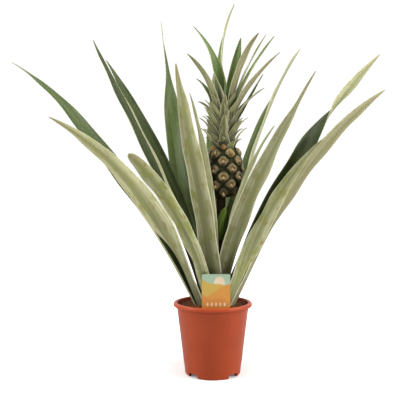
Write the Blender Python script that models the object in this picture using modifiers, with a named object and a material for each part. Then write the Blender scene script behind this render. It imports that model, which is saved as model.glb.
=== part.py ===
"""Potted pineapple plant: a rosette of channelled leaves, a small fruit on a stalk and its leafy crown.

Units are metres, +Z is up, -Y is the front and the origin is the middle of the pot's base. Every leaf is a thin
channelled blade. Its foot clasps the stem at the radius of its layer, and its midrib leans further out along its
length by the law in blade_frame.
"""

import math
from dataclasses import dataclass

import bmesh
import bpy
from mathutils import Vector

# Pot: a 12 cm nursery pot with a rolled lip and four wide feet
POT_HEIGHT = 0.1075
RIM_RADIUS = 0.060
LIP_HEIGHT = 0.0058
BAND_HEIGHT = 0.0045
BAND_STEP = 0.0005
WALL_RADIUS_TOP = 0.0548
WALL_RADIUS_BASE = 0.0421
WALL = 0.0013
FLOOR = 0.0016
FLOOR_RISE = 0.003
PAD_RADIUS = 0.011
FOOT_WIDTH = 0.0040
NOTCH_HEIGHT = 0.006
NOTCH_WIDTH = 0.0175
NOTCH_REACH = 0.016
NOTCH_COUNT = 4
POT_SIDES = 48

# Soil
SOIL_LEVEL = 0.1035
SOIL_CROWNING = 0.0010
SOIL_GAP = 0.0003
SOIL_SIDES = 40
WELL_FLARE = 16.0

# Plant stem: a wide basal plate in the soil, a short core and the fruit stalk, which leans to the right
PLANT_X = 0.004
PLATE_RADIUS = 0.0305
PLATE_BOTTOM = 0.0935
LEAF_FOOT_Z = 0.0985
SEAT_GAP = 0.0003
CORE_RADIUS = 0.0105
STALK_RADIUS = 0.0062
STALK_TOP_RADIUS = 0.0068
STALK_TOP_X = 0.0130
FRUIT_X = 0.0173
FRUIT_BOTTOM = 0.267
CORE_TOP = 0.135

# Fruit and crown
FRUIT_HEIGHT = 0.078
FRUIT_RADIUS = 0.029
CROWN_X = 0.0165
CROWN_ROW_RADIUS = 0.018
CROWN_ROW_STEP = 0.001
CROWN_ROW_BASE = 0.346
CROWN_ROW_RISE = 0.005
CROWN_ROWS = 12
CROWN_CORE_SHARE = 0.95

# Leaf blades
ROSETTE_RADIUS = 0.029
ROSETTE_STEP = 0.0016
ROSETTE_THICKNESS = 0.0010
CROWN_THICKNESS = 0.0006
TIP_WIDTH = 0.0012
CLASP = 1.15

# Label: a card on a stake
LABEL_X = 0.0038
LABEL_Y = -0.0475
LABEL_WIDTH = 0.041
LABEL_TOP = 0.1555
LABEL_BOTTOM = 0.1052
LABEL_THICKNESS = 0.0006
STAKE_WIDTH = 0.016
STAKE_LENGTH = 0.042
STAKE_POINT = 0.008


@dataclass
class Leaf:
    """One leaf. Angles are in degrees: turn 0 points to the front and 90 to the right."""

    turn: float
    layer: int
    length: float
    width: float
    lean: tuple
    bend: float = 1.2
    sweep: float = 0.0
    roll: tuple = (0.0, 0.0)
    taper: float = 0.0
    round_tip: bool = False
    hollow: float = 1.0


# The rosette, from the outermost leaf inwards: lean is from upright at the foot and at the tip
ROSETTE = (
    Leaf(turn=-107, layer=0, length=0.582, width=0.032, lean=(29.5, 63.5), bend=1.55, sweep=-22,
         roll=(-60, 0), hollow=1.6),
    Leaf(turn=128, layer=0, length=0.155, width=0.028, lean=(30, 46), bend=1.0),
    Leaf(turn=96, layer=1, length=0.431, width=0.0425, lean=(25, 56), bend=1.7, sweep=10, roll=(-50, -80)),
    Leaf(turn=-174, layer=1, length=0.340, width=0.024, lean=(34, 62), bend=1.2, sweep=5),
    Leaf(turn=-83, layer=2, length=0.376, width=0.04, lean=(19.5, 62), bend=1.3, sweep=-9, roll=(80, 60)),
    Leaf(turn=172, layer=3, length=0.290, width=0.026, lean=(30, 60), bend=1.2, sweep=-2),
    Leaf(turn=54, layer=3, length=0.295, width=0.028, lean=(22, 53), bend=1.8, sweep=-13, roll=(-75, -30)),
    Leaf(turn=-125, layer=7, length=0.576, width=0.0445, lean=(13.5, 43.5), bend=0.5, sweep=-25,
         taper=1.2, hollow=1.5),
    Leaf(turn=110, layer=5, length=0.491, width=0.045, lean=(26.5, 45.5), bend=1.75, sweep=-9,
         roll=(60, -90), taper=2.45, hollow=1.6),
    Leaf(turn=-27, layer=5, length=0.303, width=0.02, lean=(7.5, 59.5), bend=0.5, sweep=-6,
         roll=(30, 30), round_tip=True),
    Leaf(turn=-148, layer=6, length=0.502, width=0.042, lean=(26, 8.5), bend=0.83, sweep=11,
         roll=(-60, 55), taper=2.35),
    Leaf(turn=-14, layer=7, length=0.425, width=0.0285, lean=(0, 66), bend=0.57, sweep=10, roll=(10, 50),
         taper=2.8),
    Leaf(turn=134, layer=8, length=0.519, width=0.043, lean=(9, 50), bend=1.15, sweep=12,
         roll=(-30, -60), taper=2.7, hollow=1.6),
    Leaf(turn=-100, layer=8, length=0.428, width=0.045, lean=(4.5, 32.5), bend=0.5, sweep=-15,
         roll=(-12, -15), taper=2.8, hollow=1.8),
    Leaf(turn=41, layer=9, length=0.388, width=0.0365, lean=(1, 51.5), bend=0.6, sweep=-20,
         roll=(-5, 30), taper=2.8),
    Leaf(turn=178, layer=9, length=0.290, width=0.024, lean=(6, 44), bend=1.4, sweep=-4),
    Leaf(turn=-34, layer=10, length=0.325, width=0.0275, lean=(0.5, 26), bend=2.0, sweep=-6, roll=(5, -20)),
    Leaf(turn=70, layer=10, length=0.290, width=0.016, lean=(1.5, 36.5), bend=1.4, sweep=-1,
         roll=(-20, -30)),
    Leaf(turn=184, layer=10, length=0.395, width=0.0295, lean=(4.5, 24), bend=1.15, sweep=-9,
         roll=(10, -10), taper=2.5),
)

# The crown's long leaves, by row: four rows of short leaves lie below them
CROWN = (
    Leaf(turn=-70, layer=4, length=0.057, width=0.0175, lean=(5.5, 81), bend=1.85, roll=(0, 10)),
    Leaf(turn=92, layer=5, length=0.083, width=0.0225, lean=(15.5, 58), bend=0.88, roll=(10, -5),
         taper=1.9),
    Leaf(turn=11, layer=4, length=0.037, width=0.0145, lean=(7, 44), bend=1.2, sweep=-7),
    Leaf(turn=105, layer=4, length=0.108, width=0.008, lean=(22, 33), bend=0.5, sweep=13, roll=(30, 30),
         taper=1.2),
    Leaf(turn=-114, layer=5, length=0.092, width=0.018, lean=(5.5, 58.5), bend=2.1, sweep=-5,
         roll=(-10, -20), taper=1.7),
    Leaf(turn=74, layer=6, length=0.132, width=0.019, lean=(11.5, 51), bend=0.67, sweep=-4, roll=(-15, -5)),
    Leaf(turn=-57, layer=6, length=0.119, width=0.021, lean=(3, 59), bend=1.25, sweep=1, roll=(0, 15),
         taper=1.7),
    Leaf(turn=168, layer=6, length=0.080, width=0.016, lean=(20, 62), bend=1.3),
    Leaf(turn=118, layer=7, length=0.171, width=0.0155, lean=(13.5, 41), bend=0.65, sweep=1,
         roll=(-5, 15), taper=1.7),
    Leaf(turn=-65, layer=7, length=0.154, width=0.0355, lean=(-6, 44), bend=1.45, sweep=-21,
         roll=(-60, -30), taper=1.35, hollow=1.4),
    Leaf(turn=99, layer=8, length=0.146, width=0.0165, lean=(10, 32), bend=0.65, sweep=1, roll=(-5, 15)),
    Leaf(turn=180, layer=8, length=0.070, width=0.01, lean=(14, 45), bend=1.3),
    Leaf(turn=60, layer=9, length=0.130, width=0.0175, lean=(13.5, 46.5), bend=2.4, sweep=-4,
         roll=(-5, -35), taper=2.7),
    Leaf(turn=188, layer=9, length=0.216, width=0.0225, lean=(16, 26.5), bend=0.81, sweep=-61,
         roll=(-60, -60), taper=2.25, hollow=1.4),
    Leaf(turn=105, layer=10, length=0.119, width=0.0225, lean=(10.5, 9.5), bend=1.15, sweep=13,
         roll=(40, 30), taper=2.8, hollow=1.4),
    Leaf(turn=-165, layer=10, length=0.018, width=0.008, lean=(0, 20), bend=1.6),
)
SHORT_ROWS = 4
SHORT_PER_ROW = 4
SHORT_LENGTH = 0.034
SHORT_LENGTH_STEP = 0.0033
SHORT_WIDTH = 0.016
SHORT_LEAN = (12, 61)

# Small leaves on the fruit stalk
STALK_LEAVES = (
    Leaf(turn=30, layer=0, length=0.051, width=0.0165, lean=(4, 24), bend=1.2, taper=5.0),
    Leaf(turn=66, layer=1, length=0.036, width=0.0095, lean=(8, 22), bend=1.2),
)
STALK_LEAF_Z = (0.2025, 0.226)
STALK_LEAF_STANDOFF = 0.0020


def clear_scene():
    for item in list(bpy.data.objects):
        bpy.data.objects.remove(item, do_unlink=True)


def new_collection(name, hidden=False):
    collection = bpy.data.collections.new(name)
    bpy.context.scene.collection.children.link(collection)
    collection.hide_render = hidden
    return collection


def material(name, colour, roughness, metallic=0.0):
    made = bpy.data.materials.new(name)
    made.use_nodes = True
    shader = made.node_tree.nodes["Principled BSDF"]
    shader.inputs["Base Color"].default_value = (*colour, 1.0)
    shader.inputs["Roughness"].default_value = roughness
    shader.inputs["Metallic"].default_value = metallic
    made.diffuse_color = (*colour, 1.0)
    return made


def object_from_bmesh(name, mesh_builder, collection, surface, parent=None):
    mesh = bpy.data.meshes.new(name)
    mesh_builder.to_mesh(mesh)
    mesh_builder.free()
    made = bpy.data.objects.new(name, mesh)
    collection.objects.link(made)
    made.parent = parent
    if surface:
        mesh.materials.append(surface)
        for face in mesh.polygons:
            face.use_smooth = True
        mesh.set_sharp_from_angle(angle=math.radians(35))
    return made


def turned(name, profile, sides, collection, surface, parent=None):
    """A profile of (radius, height) points, turned about the object's Z axis with a Screw modifier."""
    builder = bmesh.new()
    corners = [builder.verts.new((radius, 0.0, height)) for radius, height in profile]
    for first, second in zip(corners, corners[1:]):
        builder.edges.new((first, second))
    made = object_from_bmesh(name, builder, collection, surface, parent)
    screw = made.modifiers.new("Turn", "SCREW")
    screw.axis = "Z"
    screw.steps = sides
    screw.render_steps = sides
    screw.use_merge_vertices = True
    screw.merge_threshold = 0.00001
    return made


def cut(target, cutter):
    boolean = target.modifiers.new("Cut " + cutter.name, "BOOLEAN")
    boolean.operation = "DIFFERENCE"
    boolean.solver = "EXACT"
    boolean.object = cutter
    cutter.hide_render = True
    cutter.display_type = "WIRE"


def box_cutter(name, size, centre, collection, turn=0.0, parent=None):
    builder = bmesh.new()
    bmesh.ops.create_cube(builder, size=1.0)
    bmesh.ops.scale(builder, vec=size, verts=builder.verts)
    made = object_from_bmesh(name, builder, collection, None, parent)
    made.location = centre
    made.rotation_euler = (0.0, 0.0, turn)
    return made


def smooth_step(value):
    value = min(max(value, 0.0), 1.0)
    return value * value * (3.0 - 2.0 * value)


def between(start, end, share):
    return start + (end - start) * share


def blade_frame(leaf, along):
    """The directions of the midrib, of the blade's width and of its upper side at a share of the length."""
    turn = math.radians(leaf.turn + leaf.sweep * along**1.6)
    lean = math.radians(between(*leaf.lean, along**leaf.bend))
    rib = Vector((math.sin(lean) * math.sin(turn), -math.sin(lean) * math.cos(turn), math.cos(lean)))
    side = Vector((math.cos(turn), math.sin(turn), 0.0))
    upper = rib.cross(side)
    middle_roll, tip_roll = leaf.roll
    roll = middle_roll * smooth_step((along - 0.12) / 0.38)
    roll += (tip_roll - middle_roll) * smooth_step((along - 0.5) / 0.45)
    roll = math.radians(roll)
    rolled_side = side * math.cos(roll) + upper * math.sin(roll)
    rolled_upper = upper * math.cos(roll) - side * math.sin(roll)
    return rib, rolled_side, rolled_upper


@dataclass
class BladeStyle:
    """What the blades of one part of the plant share: the clasp's widest angle, folds, thickness and taper."""

    clasp_limit: float
    fold: tuple
    thickness: float
    taper: float
    segments: int
    columns: int


ROSETTE_STYLE = BladeStyle(110, (75, 40), ROSETTE_THICKNESS, 2.2, 13, 4)
CROWN_STYLE = BladeStyle(75, (85, 50), CROWN_THICKNESS, 1.6, 9, 2)
SHORT_STYLE = BladeStyle(75, (85, 50), CROWN_THICKNESS, 1.6, 4, 2)


def clasp_angle(leaf, style, radius):
    return math.radians(min(style.clasp_limit, max(60.0, math.degrees(CLASP * leaf.width / radius))))


def blade_width(leaf, style, radius, along):
    foot = radius * clasp_angle(leaf, style, radius)
    full = between(foot, leaf.width, smooth_step(along / 0.28))
    if leaf.round_tip:
        return full * math.sqrt(1.0 - along**10) + TIP_WIDTH
    taper = leaf.taper or style.taper
    return full * (1.0 - along**taper) ** 0.9 + TIP_WIDTH


def blade_fold(leaf, style, radius, along):
    clasp = clasp_angle(leaf, style, radius)
    middle, tip = (math.radians(angle * leaf.hollow) for angle in style.fold)
    fold = between(clasp, middle, smooth_step(along / 0.3))
    return fold + (tip - middle) * min(max((along - 0.4) / 0.6, 0.0), 1.0)


def midrib(leaf, foot, steps):
    """Points along the midrib, stepped out from the foot along its own direction."""
    points = [Vector(foot)]
    for step in range(steps):
        start = blade_frame(leaf, step / steps)[0]
        end = blade_frame(leaf, (step + 1) / steps)[0]
        points.append(points[-1] + (start + end) * (leaf.length / steps / 2.0))
    return points


def leaf_blade(name, leaf, axis, radius, style, collection, surface, parent):
    """An open channelled sheet along the midrib, given its thickness by Solidify."""
    turn = math.radians(leaf.turn)
    foot = (axis[0] + radius * math.sin(turn), axis[1] - radius * math.cos(turn), axis[2])
    rib_points = midrib(leaf, foot, style.segments)
    builder = bmesh.new()
    bmesh.ops.create_grid(builder, x_segments=style.columns, y_segments=style.segments, size=1.0)
    for corner in builder.verts:
        across = corner.co.x
        row = round((corner.co.y + 1.0) / 2.0 * style.segments)
        along = row / style.segments
        _, side, upper = blade_frame(leaf, along)
        fold = blade_fold(leaf, style, radius, along)
        curl = blade_width(leaf, style, radius, along) / fold
        angle = across * fold / 2.0
        corner.co = rib_points[row] + side * (curl * math.sin(angle)) + upper * (curl * (1.0 - math.cos(angle)))
    made = object_from_bmesh(name, builder, collection, surface, parent)
    solid = made.modifiers.new("Thickness", "SOLIDIFY")
    solid.thickness = style.thickness
    solid.offset = -1.0
    return made


def wall_radius(height):
    """The outer radius of the pot's tapered wall, below the lip."""
    lip_bottom = POT_HEIGHT - LIP_HEIGHT
    return between(WALL_RADIUS_BASE, WALL_RADIUS_TOP, height / lip_bottom)


def lip_arc(centre, radius, start, end, steps):
    """Points on a round of the lip, from one angle to another in degrees."""
    points = []
    for step in range(steps + 1):
        angle = math.radians(between(start, end, step / steps))
        points.append((centre[0] + radius * math.cos(angle), centre[1] + radius * math.sin(angle)))
    return points


def make_pot(parts, cutters, parent):
    """A turned shell with a rolled lip, a raised floor round a middle pad, and a foot ring cut into four feet."""
    plastic = material("terracotta_plastic", (0.52, 0.16, 0.07), 0.45)
    lip_bottom = POT_HEIGHT - LIP_HEIGHT
    band_bottom = lip_bottom - BAND_HEIGHT
    floor_top = FLOOR_RISE + FLOOR
    foot_inner = WALL_RADIUS_BASE - FOOT_WIDTH
    inner_top = WALL_RADIUS_TOP - WALL
    outer_round = 0.0026
    inner_round = 0.0018
    lip_centre_z = POT_HEIGHT - outer_round
    profile = [
        (0.0, FLOOR),
        (PAD_RADIUS, FLOOR),
        (PAD_RADIUS + FLOOR_RISE, floor_top),
        (wall_radius(floor_top) - WALL - 0.001, floor_top),
        (wall_radius(floor_top + 0.001) - WALL, floor_top + 0.001),
        (inner_top, lip_bottom),
    ]
    profile += lip_arc((inner_top + inner_round + 0.0004, POT_HEIGHT - inner_round), inner_round, 180, 90, 2)
    profile += lip_arc((RIM_RADIUS - outer_round, lip_centre_z), outer_round, 90, 0, 3)
    profile += [
        (RIM_RADIUS - 0.0003, lip_bottom + 0.0008),
        (RIM_RADIUS - 0.0011, lip_bottom),
        (WALL_RADIUS_TOP + BAND_STEP, lip_bottom - 0.0002),
        (wall_radius(band_bottom) + BAND_STEP, band_bottom),
        (wall_radius(band_bottom - 0.0005), band_bottom - 0.0005),
        (WALL_RADIUS_BASE, 0.0008),
        (WALL_RADIUS_BASE - 0.0008, 0.0),
        (foot_inner, 0.0),
        (foot_inner - 0.0006, FLOOR_RISE),
        (PAD_RADIUS + FLOOR_RISE + 0.0006, FLOOR_RISE),
        (PAD_RADIUS + 0.0006, 0.0),
        (0.0, 0.0),
    ]
    pot = turned("pot", profile, POT_SIDES, parts, plastic, parent)
    for index in range(NOTCH_COUNT):
        turn = math.radians(45.0 + 360.0 / NOTCH_COUNT * index)
        centre = (WALL_RADIUS_BASE * math.cos(turn), WALL_RADIUS_BASE * math.sin(turn), 0.0)
        size = (NOTCH_REACH, NOTCH_WIDTH, NOTCH_HEIGHT * 2.0)
        notch = box_cutter(f"drain_notch_{index + 1}", size, centre, cutters, turn, parent)
        cut(pot, notch)
    return pot


def make_soil(parts, cutters, parent):
    """The growing medium, with a well for the plant's foot and a slot for the label's stake."""
    peat = material("soil", (0.055, 0.032, 0.020), 0.95)
    floor_top = FLOOR_RISE + FLOOR + SOIL_GAP
    lip_bottom = POT_HEIGHT - LIP_HEIGHT
    inset = WALL + SOIL_GAP
    profile = (
        (0.0, SOIL_LEVEL + SOIL_CROWNING),
        (PLATE_RADIUS + 0.008, SOIL_LEVEL + SOIL_CROWNING),
        (WALL_RADIUS_TOP - inset - 0.005, SOIL_LEVEL),
        (WALL_RADIUS_TOP - inset, SOIL_LEVEL - 0.0006),
        (WALL_RADIUS_TOP - inset, lip_bottom),
        (wall_radius(floor_top + 0.003) - inset, floor_top + 0.003),
        (wall_radius(floor_top) - inset - 0.003, floor_top),
        (0.0, floor_top),
    )
    soil = turned("soil", profile, SOIL_SIDES, parts, peat, parent)
    depth = 0.02
    foot_radius = PLATE_RADIUS + SOIL_GAP
    well = bmesh.new()
    bmesh.ops.create_cone(
        well,
        cap_ends=True,
        segments=SOIL_SIDES,
        radius1=foot_radius,
        radius2=foot_radius + depth * math.tan(math.radians(WELL_FLARE)),
        depth=depth,
    )
    plant_well = object_from_bmesh("plant_well", well, cutters, None, parent)
    plant_well.location = (PLANT_X, 0.0, PLATE_BOTTOM - SOIL_GAP + depth / 2.0)
    cut(soil, plant_well)
    slot_size = (
        STAKE_WIDTH + 2.0 * SOIL_GAP,
        LABEL_THICKNESS + 2.0 * SOIL_GAP,
        2.0 * (STAKE_LENGTH + SOIL_GAP),
    )
    slot = box_cutter("stake_slot", slot_size, (LABEL_X, LABEL_Y, LABEL_BOTTOM), cutters, 0.0, parent)
    cut(soil, slot)
    return soil


def make_label(parts, parent):
    """A flat card with rounded corners and a pointed stake, cut from one outline."""
    card = material("label_card", (0.90, 0.55, 0.20), 0.5)
    half = LABEL_WIDTH / 2.0
    stake = STAKE_WIDTH / 2.0
    radius = 0.002
    outline = []
    for corner_x, corner_z, start in (
        (half - radius, LABEL_TOP - radius, 0),
        (-half + radius, LABEL_TOP - radius, 90),
        (-half + radius, LABEL_BOTTOM + radius, 180),
    ):
        for step in range(4):
            angle = math.radians(start + 30 * step)
            outline.append((corner_x + radius * math.cos(angle), corner_z + radius * math.sin(angle)))
    outline += [
        (-stake, LABEL_BOTTOM),
        (-stake, LABEL_BOTTOM - STAKE_LENGTH + STAKE_POINT),
        (0.0, LABEL_BOTTOM - STAKE_LENGTH),
        (stake, LABEL_BOTTOM - STAKE_LENGTH + STAKE_POINT),
        (stake, LABEL_BOTTOM),
    ]
    for step in range(4):
        angle = math.radians(270 + 30 * step)
        outline.append((half - radius + radius * math.cos(angle), LABEL_BOTTOM + radius + radius * math.sin(angle)))
    builder = bmesh.new()
    face = builder.faces.new([builder.verts.new((x, 0.0, z)) for x, z in outline])
    face.normal_update()
    made = object_from_bmesh("plant_label", builder, parts, card, parent)
    made.location = (LABEL_X, LABEL_Y, 0.0)
    solid = made.modifiers.new("Thickness", "SOLIDIFY")
    solid.thickness = LABEL_THICKNESS
    solid.offset = 0.0
    return made


def stalk_centre(height):
    """The fruit stalk's centre line: upright out of the leaves, then leaning to the fruit and upright again."""
    return PLANT_X + (STALK_TOP_X - PLANT_X) * smooth_step((height - CORE_TOP) / (FRUIT_BOTTOM - CORE_TOP))


def make_stem(parts, parent):
    """The basal plate, core and fruit stalk, lofted through round sections."""
    fibre = material("stem", (0.075, 0.055, 0.030), 0.8)
    plate_top = LEAF_FOOT_Z - SEAT_GAP
    sections = [
        (PLATE_BOTTOM, PLATE_RADIUS - 0.001),
        (PLATE_BOTTOM + 0.001, PLATE_RADIUS),
        (plate_top - 0.0006, PLATE_RADIUS),
        (plate_top, PLATE_RADIUS - 0.0006),
        (plate_top + 0.0001, CORE_RADIUS + 0.0012),
        (plate_top + 0.003, CORE_RADIUS),
        (CORE_TOP, STALK_RADIUS + 0.0012),
    ]
    stalk_steps = 6
    for step in range(1, stalk_steps + 1):
        share = step / stalk_steps
        sections.append(
            (between(CORE_TOP, FRUIT_BOTTOM - SEAT_GAP, share), between(STALK_RADIUS, STALK_TOP_RADIUS, share))
        )
    builder = bmesh.new()
    sides = 20
    rings = []
    for height, radius in sections:
        made = bmesh.ops.create_circle(builder, segments=sides, radius=radius)
        bmesh.ops.translate(builder, vec=(stalk_centre(height), 0.0, height), verts=made["verts"])
        rings.append({edge for corner in made["verts"] for edge in corner.link_edges})
    for lower, upper in zip(rings, rings[1:]):
        bmesh.ops.bridge_loops(builder, edges=list(lower | upper))
    bmesh.ops.holes_fill(builder, edges=list(rings[0] | rings[-1]), sides=sides)
    bmesh.ops.recalc_face_normals(builder, faces=builder.faces)
    return object_from_bmesh("stem", builder, parts, fibre, parent)


def make_fruit(parts, parent):
    skin = material("fruit_skin", (0.36, 0.25, 0.12), 0.6)
    outline = (
        (0.0, 1.0),
        (0.53, 0.992),
        (0.72, 0.925),
        (0.88, 0.81),
        (0.98, 0.66),
        (1.0, 0.52),
        (0.96, 0.34),
        (0.86, 0.17),
        (0.66, 0.05),
        (0.40, 0.0),
        (0.0, 0.0),
    )
    profile = [(share * FRUIT_RADIUS, height * FRUIT_HEIGHT) for share, height in outline]
    fruit = turned("fruit", profile, 28, parts, skin, parent)
    fruit.location = (FRUIT_X, 0.0, FRUIT_BOTTOM)
    return fruit


def crown_row(row):
    """The radius and height at which a row of crown leaves is attached."""
    return CROWN_ROW_RADIUS - CROWN_ROW_STEP * row, CROWN_ROW_BASE + CROWN_ROW_RISE * row


def make_crown_core(parts, parent):
    pith = material("crown_core", (0.16, 0.19, 0.09), 0.7)
    clearance = CROWN_THICKNESS + SEAT_GAP
    base_radius, base_height = crown_row(0)
    top_radius, top_height = crown_row(CROWN_ROWS)
    base_radius = base_radius * CROWN_CORE_SHARE - clearance
    top_radius = top_radius * CROWN_CORE_SHARE - clearance
    bottom = FRUIT_BOTTOM + FRUIT_HEIGHT + SEAT_GAP
    profile = (
        (0.0, top_height + 0.002),
        (top_radius - 0.001, top_height + 0.0015),
        (top_radius, top_height),
        (base_radius, base_height),
        (base_radius - 0.002, bottom),
        (0.0, bottom),
    )
    core = turned("crown_core", profile, 20, parts, pith, parent)
    core.location = (CROWN_X, 0.0, 0.0)
    return core


def make_rosette(parts, parent):
    green = material("rosette_leaf", (0.16, 0.21, 0.09), 0.5)
    for index, leaf in enumerate(ROSETTE):
        radius = ROSETTE_RADIUS - ROSETTE_STEP * leaf.layer
        axis = (PLANT_X, 0.0, LEAF_FOOT_Z)
        name = f"rosette_leaf_{index + 1:02d}"
        leaf_blade(name, leaf, axis, radius, ROSETTE_STYLE, parts, green, parent)


def short_crown_leaves():
    """Rows of short leaves around the crown's foot, each row turned by half a step from the last."""
    leaves = []
    for row in range(SHORT_ROWS):
        for place in range(SHORT_PER_ROW):
            turn = (place + row / 2.0) * 360.0 / SHORT_PER_ROW
            length = SHORT_LENGTH + SHORT_LENGTH_STEP * row
            leaves.append(Leaf(turn, row, length, SHORT_WIDTH, SHORT_LEAN, bend=1.3))
    return leaves


def make_crown(parts, parent):
    green = material("crown_leaf", (0.22, 0.27, 0.12), 0.5)
    short = short_crown_leaves()
    for index, leaf in enumerate(short + list(CROWN)):
        radius, height = crown_row(leaf.layer)
        style = SHORT_STYLE if leaf in short else CROWN_STYLE
        name = f"crown_leaf_{index + 1:02d}"
        leaf_blade(name, leaf, (CROWN_X, 0.0, height), radius, style, parts, green, parent)


def make_stalk_leaves(parts, parent):
    green = material("stalk_leaf", (0.20, 0.33, 0.08), 0.5)
    for index, (leaf, height) in enumerate(zip(STALK_LEAVES, STALK_LEAF_Z)):
        axis = (stalk_centre(height), 0.0, height)
        radius = STALK_RADIUS + STALK_LEAF_STANDOFF
        leaf_blade(f"stalk_leaf_{index + 1}", leaf, axis, radius, SHORT_STYLE, parts, green, parent)


def main():
    clear_scene()
    parts = new_collection("potted_pineapple_plant")
    cutters = new_collection("cutters", hidden=True)
    frame = bpy.data.objects.new("plant_frame", None)
    parts.objects.link(frame)
    make_pot(parts, cutters, frame)
    make_soil(parts, cutters, frame)
    make_label(parts, frame)
    make_stem(parts, frame)
    make_fruit(parts, frame)
    make_crown_core(parts, frame)
    make_rosette(parts, frame)
    make_crown(parts, frame)
    make_stalk_leaves(parts, frame)


main()
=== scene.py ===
"""A young pineapple plant in a nursery pot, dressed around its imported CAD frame.

Each sub-assembly is a class that builds its own meshes and gives them their finishes. Every leaf follows
one law, BladeLaw, which is also the law of the CAD solids, so each finely meshed leaf lies where its solid
does. Units are metres, +Z is up and the front of the plant faces -Y. A leaf's upper side faces the plant's
middle.
"""

import logging
import math
import random
from dataclasses import dataclass, replace
from enum import Enum
from typing import Iterable, Sequence

import bmesh
import bpy
from mathutils import Matrix, Vector, noise


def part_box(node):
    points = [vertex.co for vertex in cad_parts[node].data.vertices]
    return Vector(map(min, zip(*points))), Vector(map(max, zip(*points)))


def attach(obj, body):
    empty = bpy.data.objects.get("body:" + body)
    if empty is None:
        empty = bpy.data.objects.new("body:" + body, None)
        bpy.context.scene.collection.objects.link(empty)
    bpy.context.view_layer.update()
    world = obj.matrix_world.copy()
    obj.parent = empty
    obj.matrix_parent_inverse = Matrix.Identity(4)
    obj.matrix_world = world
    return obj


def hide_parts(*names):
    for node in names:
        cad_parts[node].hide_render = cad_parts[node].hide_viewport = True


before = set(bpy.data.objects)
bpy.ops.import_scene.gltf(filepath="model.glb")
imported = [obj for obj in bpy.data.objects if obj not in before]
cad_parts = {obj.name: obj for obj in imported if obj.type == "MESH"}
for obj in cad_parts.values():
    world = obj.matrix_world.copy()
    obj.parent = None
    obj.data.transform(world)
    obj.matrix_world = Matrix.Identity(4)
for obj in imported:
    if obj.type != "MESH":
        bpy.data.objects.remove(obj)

LOG = logging.getLogger("pineapple_plant")
Colour = tuple[float, float, float]
Pair = tuple[float, float]
Triple = tuple[float, float, float]
Socket = bpy.types.NodeSocket
Group = bpy.types.NodeTree
Material = bpy.types.Material
Form = bmesh.types.BMesh
Corner = bmesh.types.BMVert
Edge = bmesh.types.BMEdge
Face = bmesh.types.BMFace
BODY = "root"


def smooth_step(value: float) -> float:
    """Returns value held to 0..1 and eased at both ends."""
    value = min(max(value, 0.0), 1.0)
    return value * value * (3.0 - 2.0 * value)


def between(start: float, end: float, share: float) -> float:
    """Returns the value at a share of the way from start to end."""
    return start + (end - start) * share


# Node wiring


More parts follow.
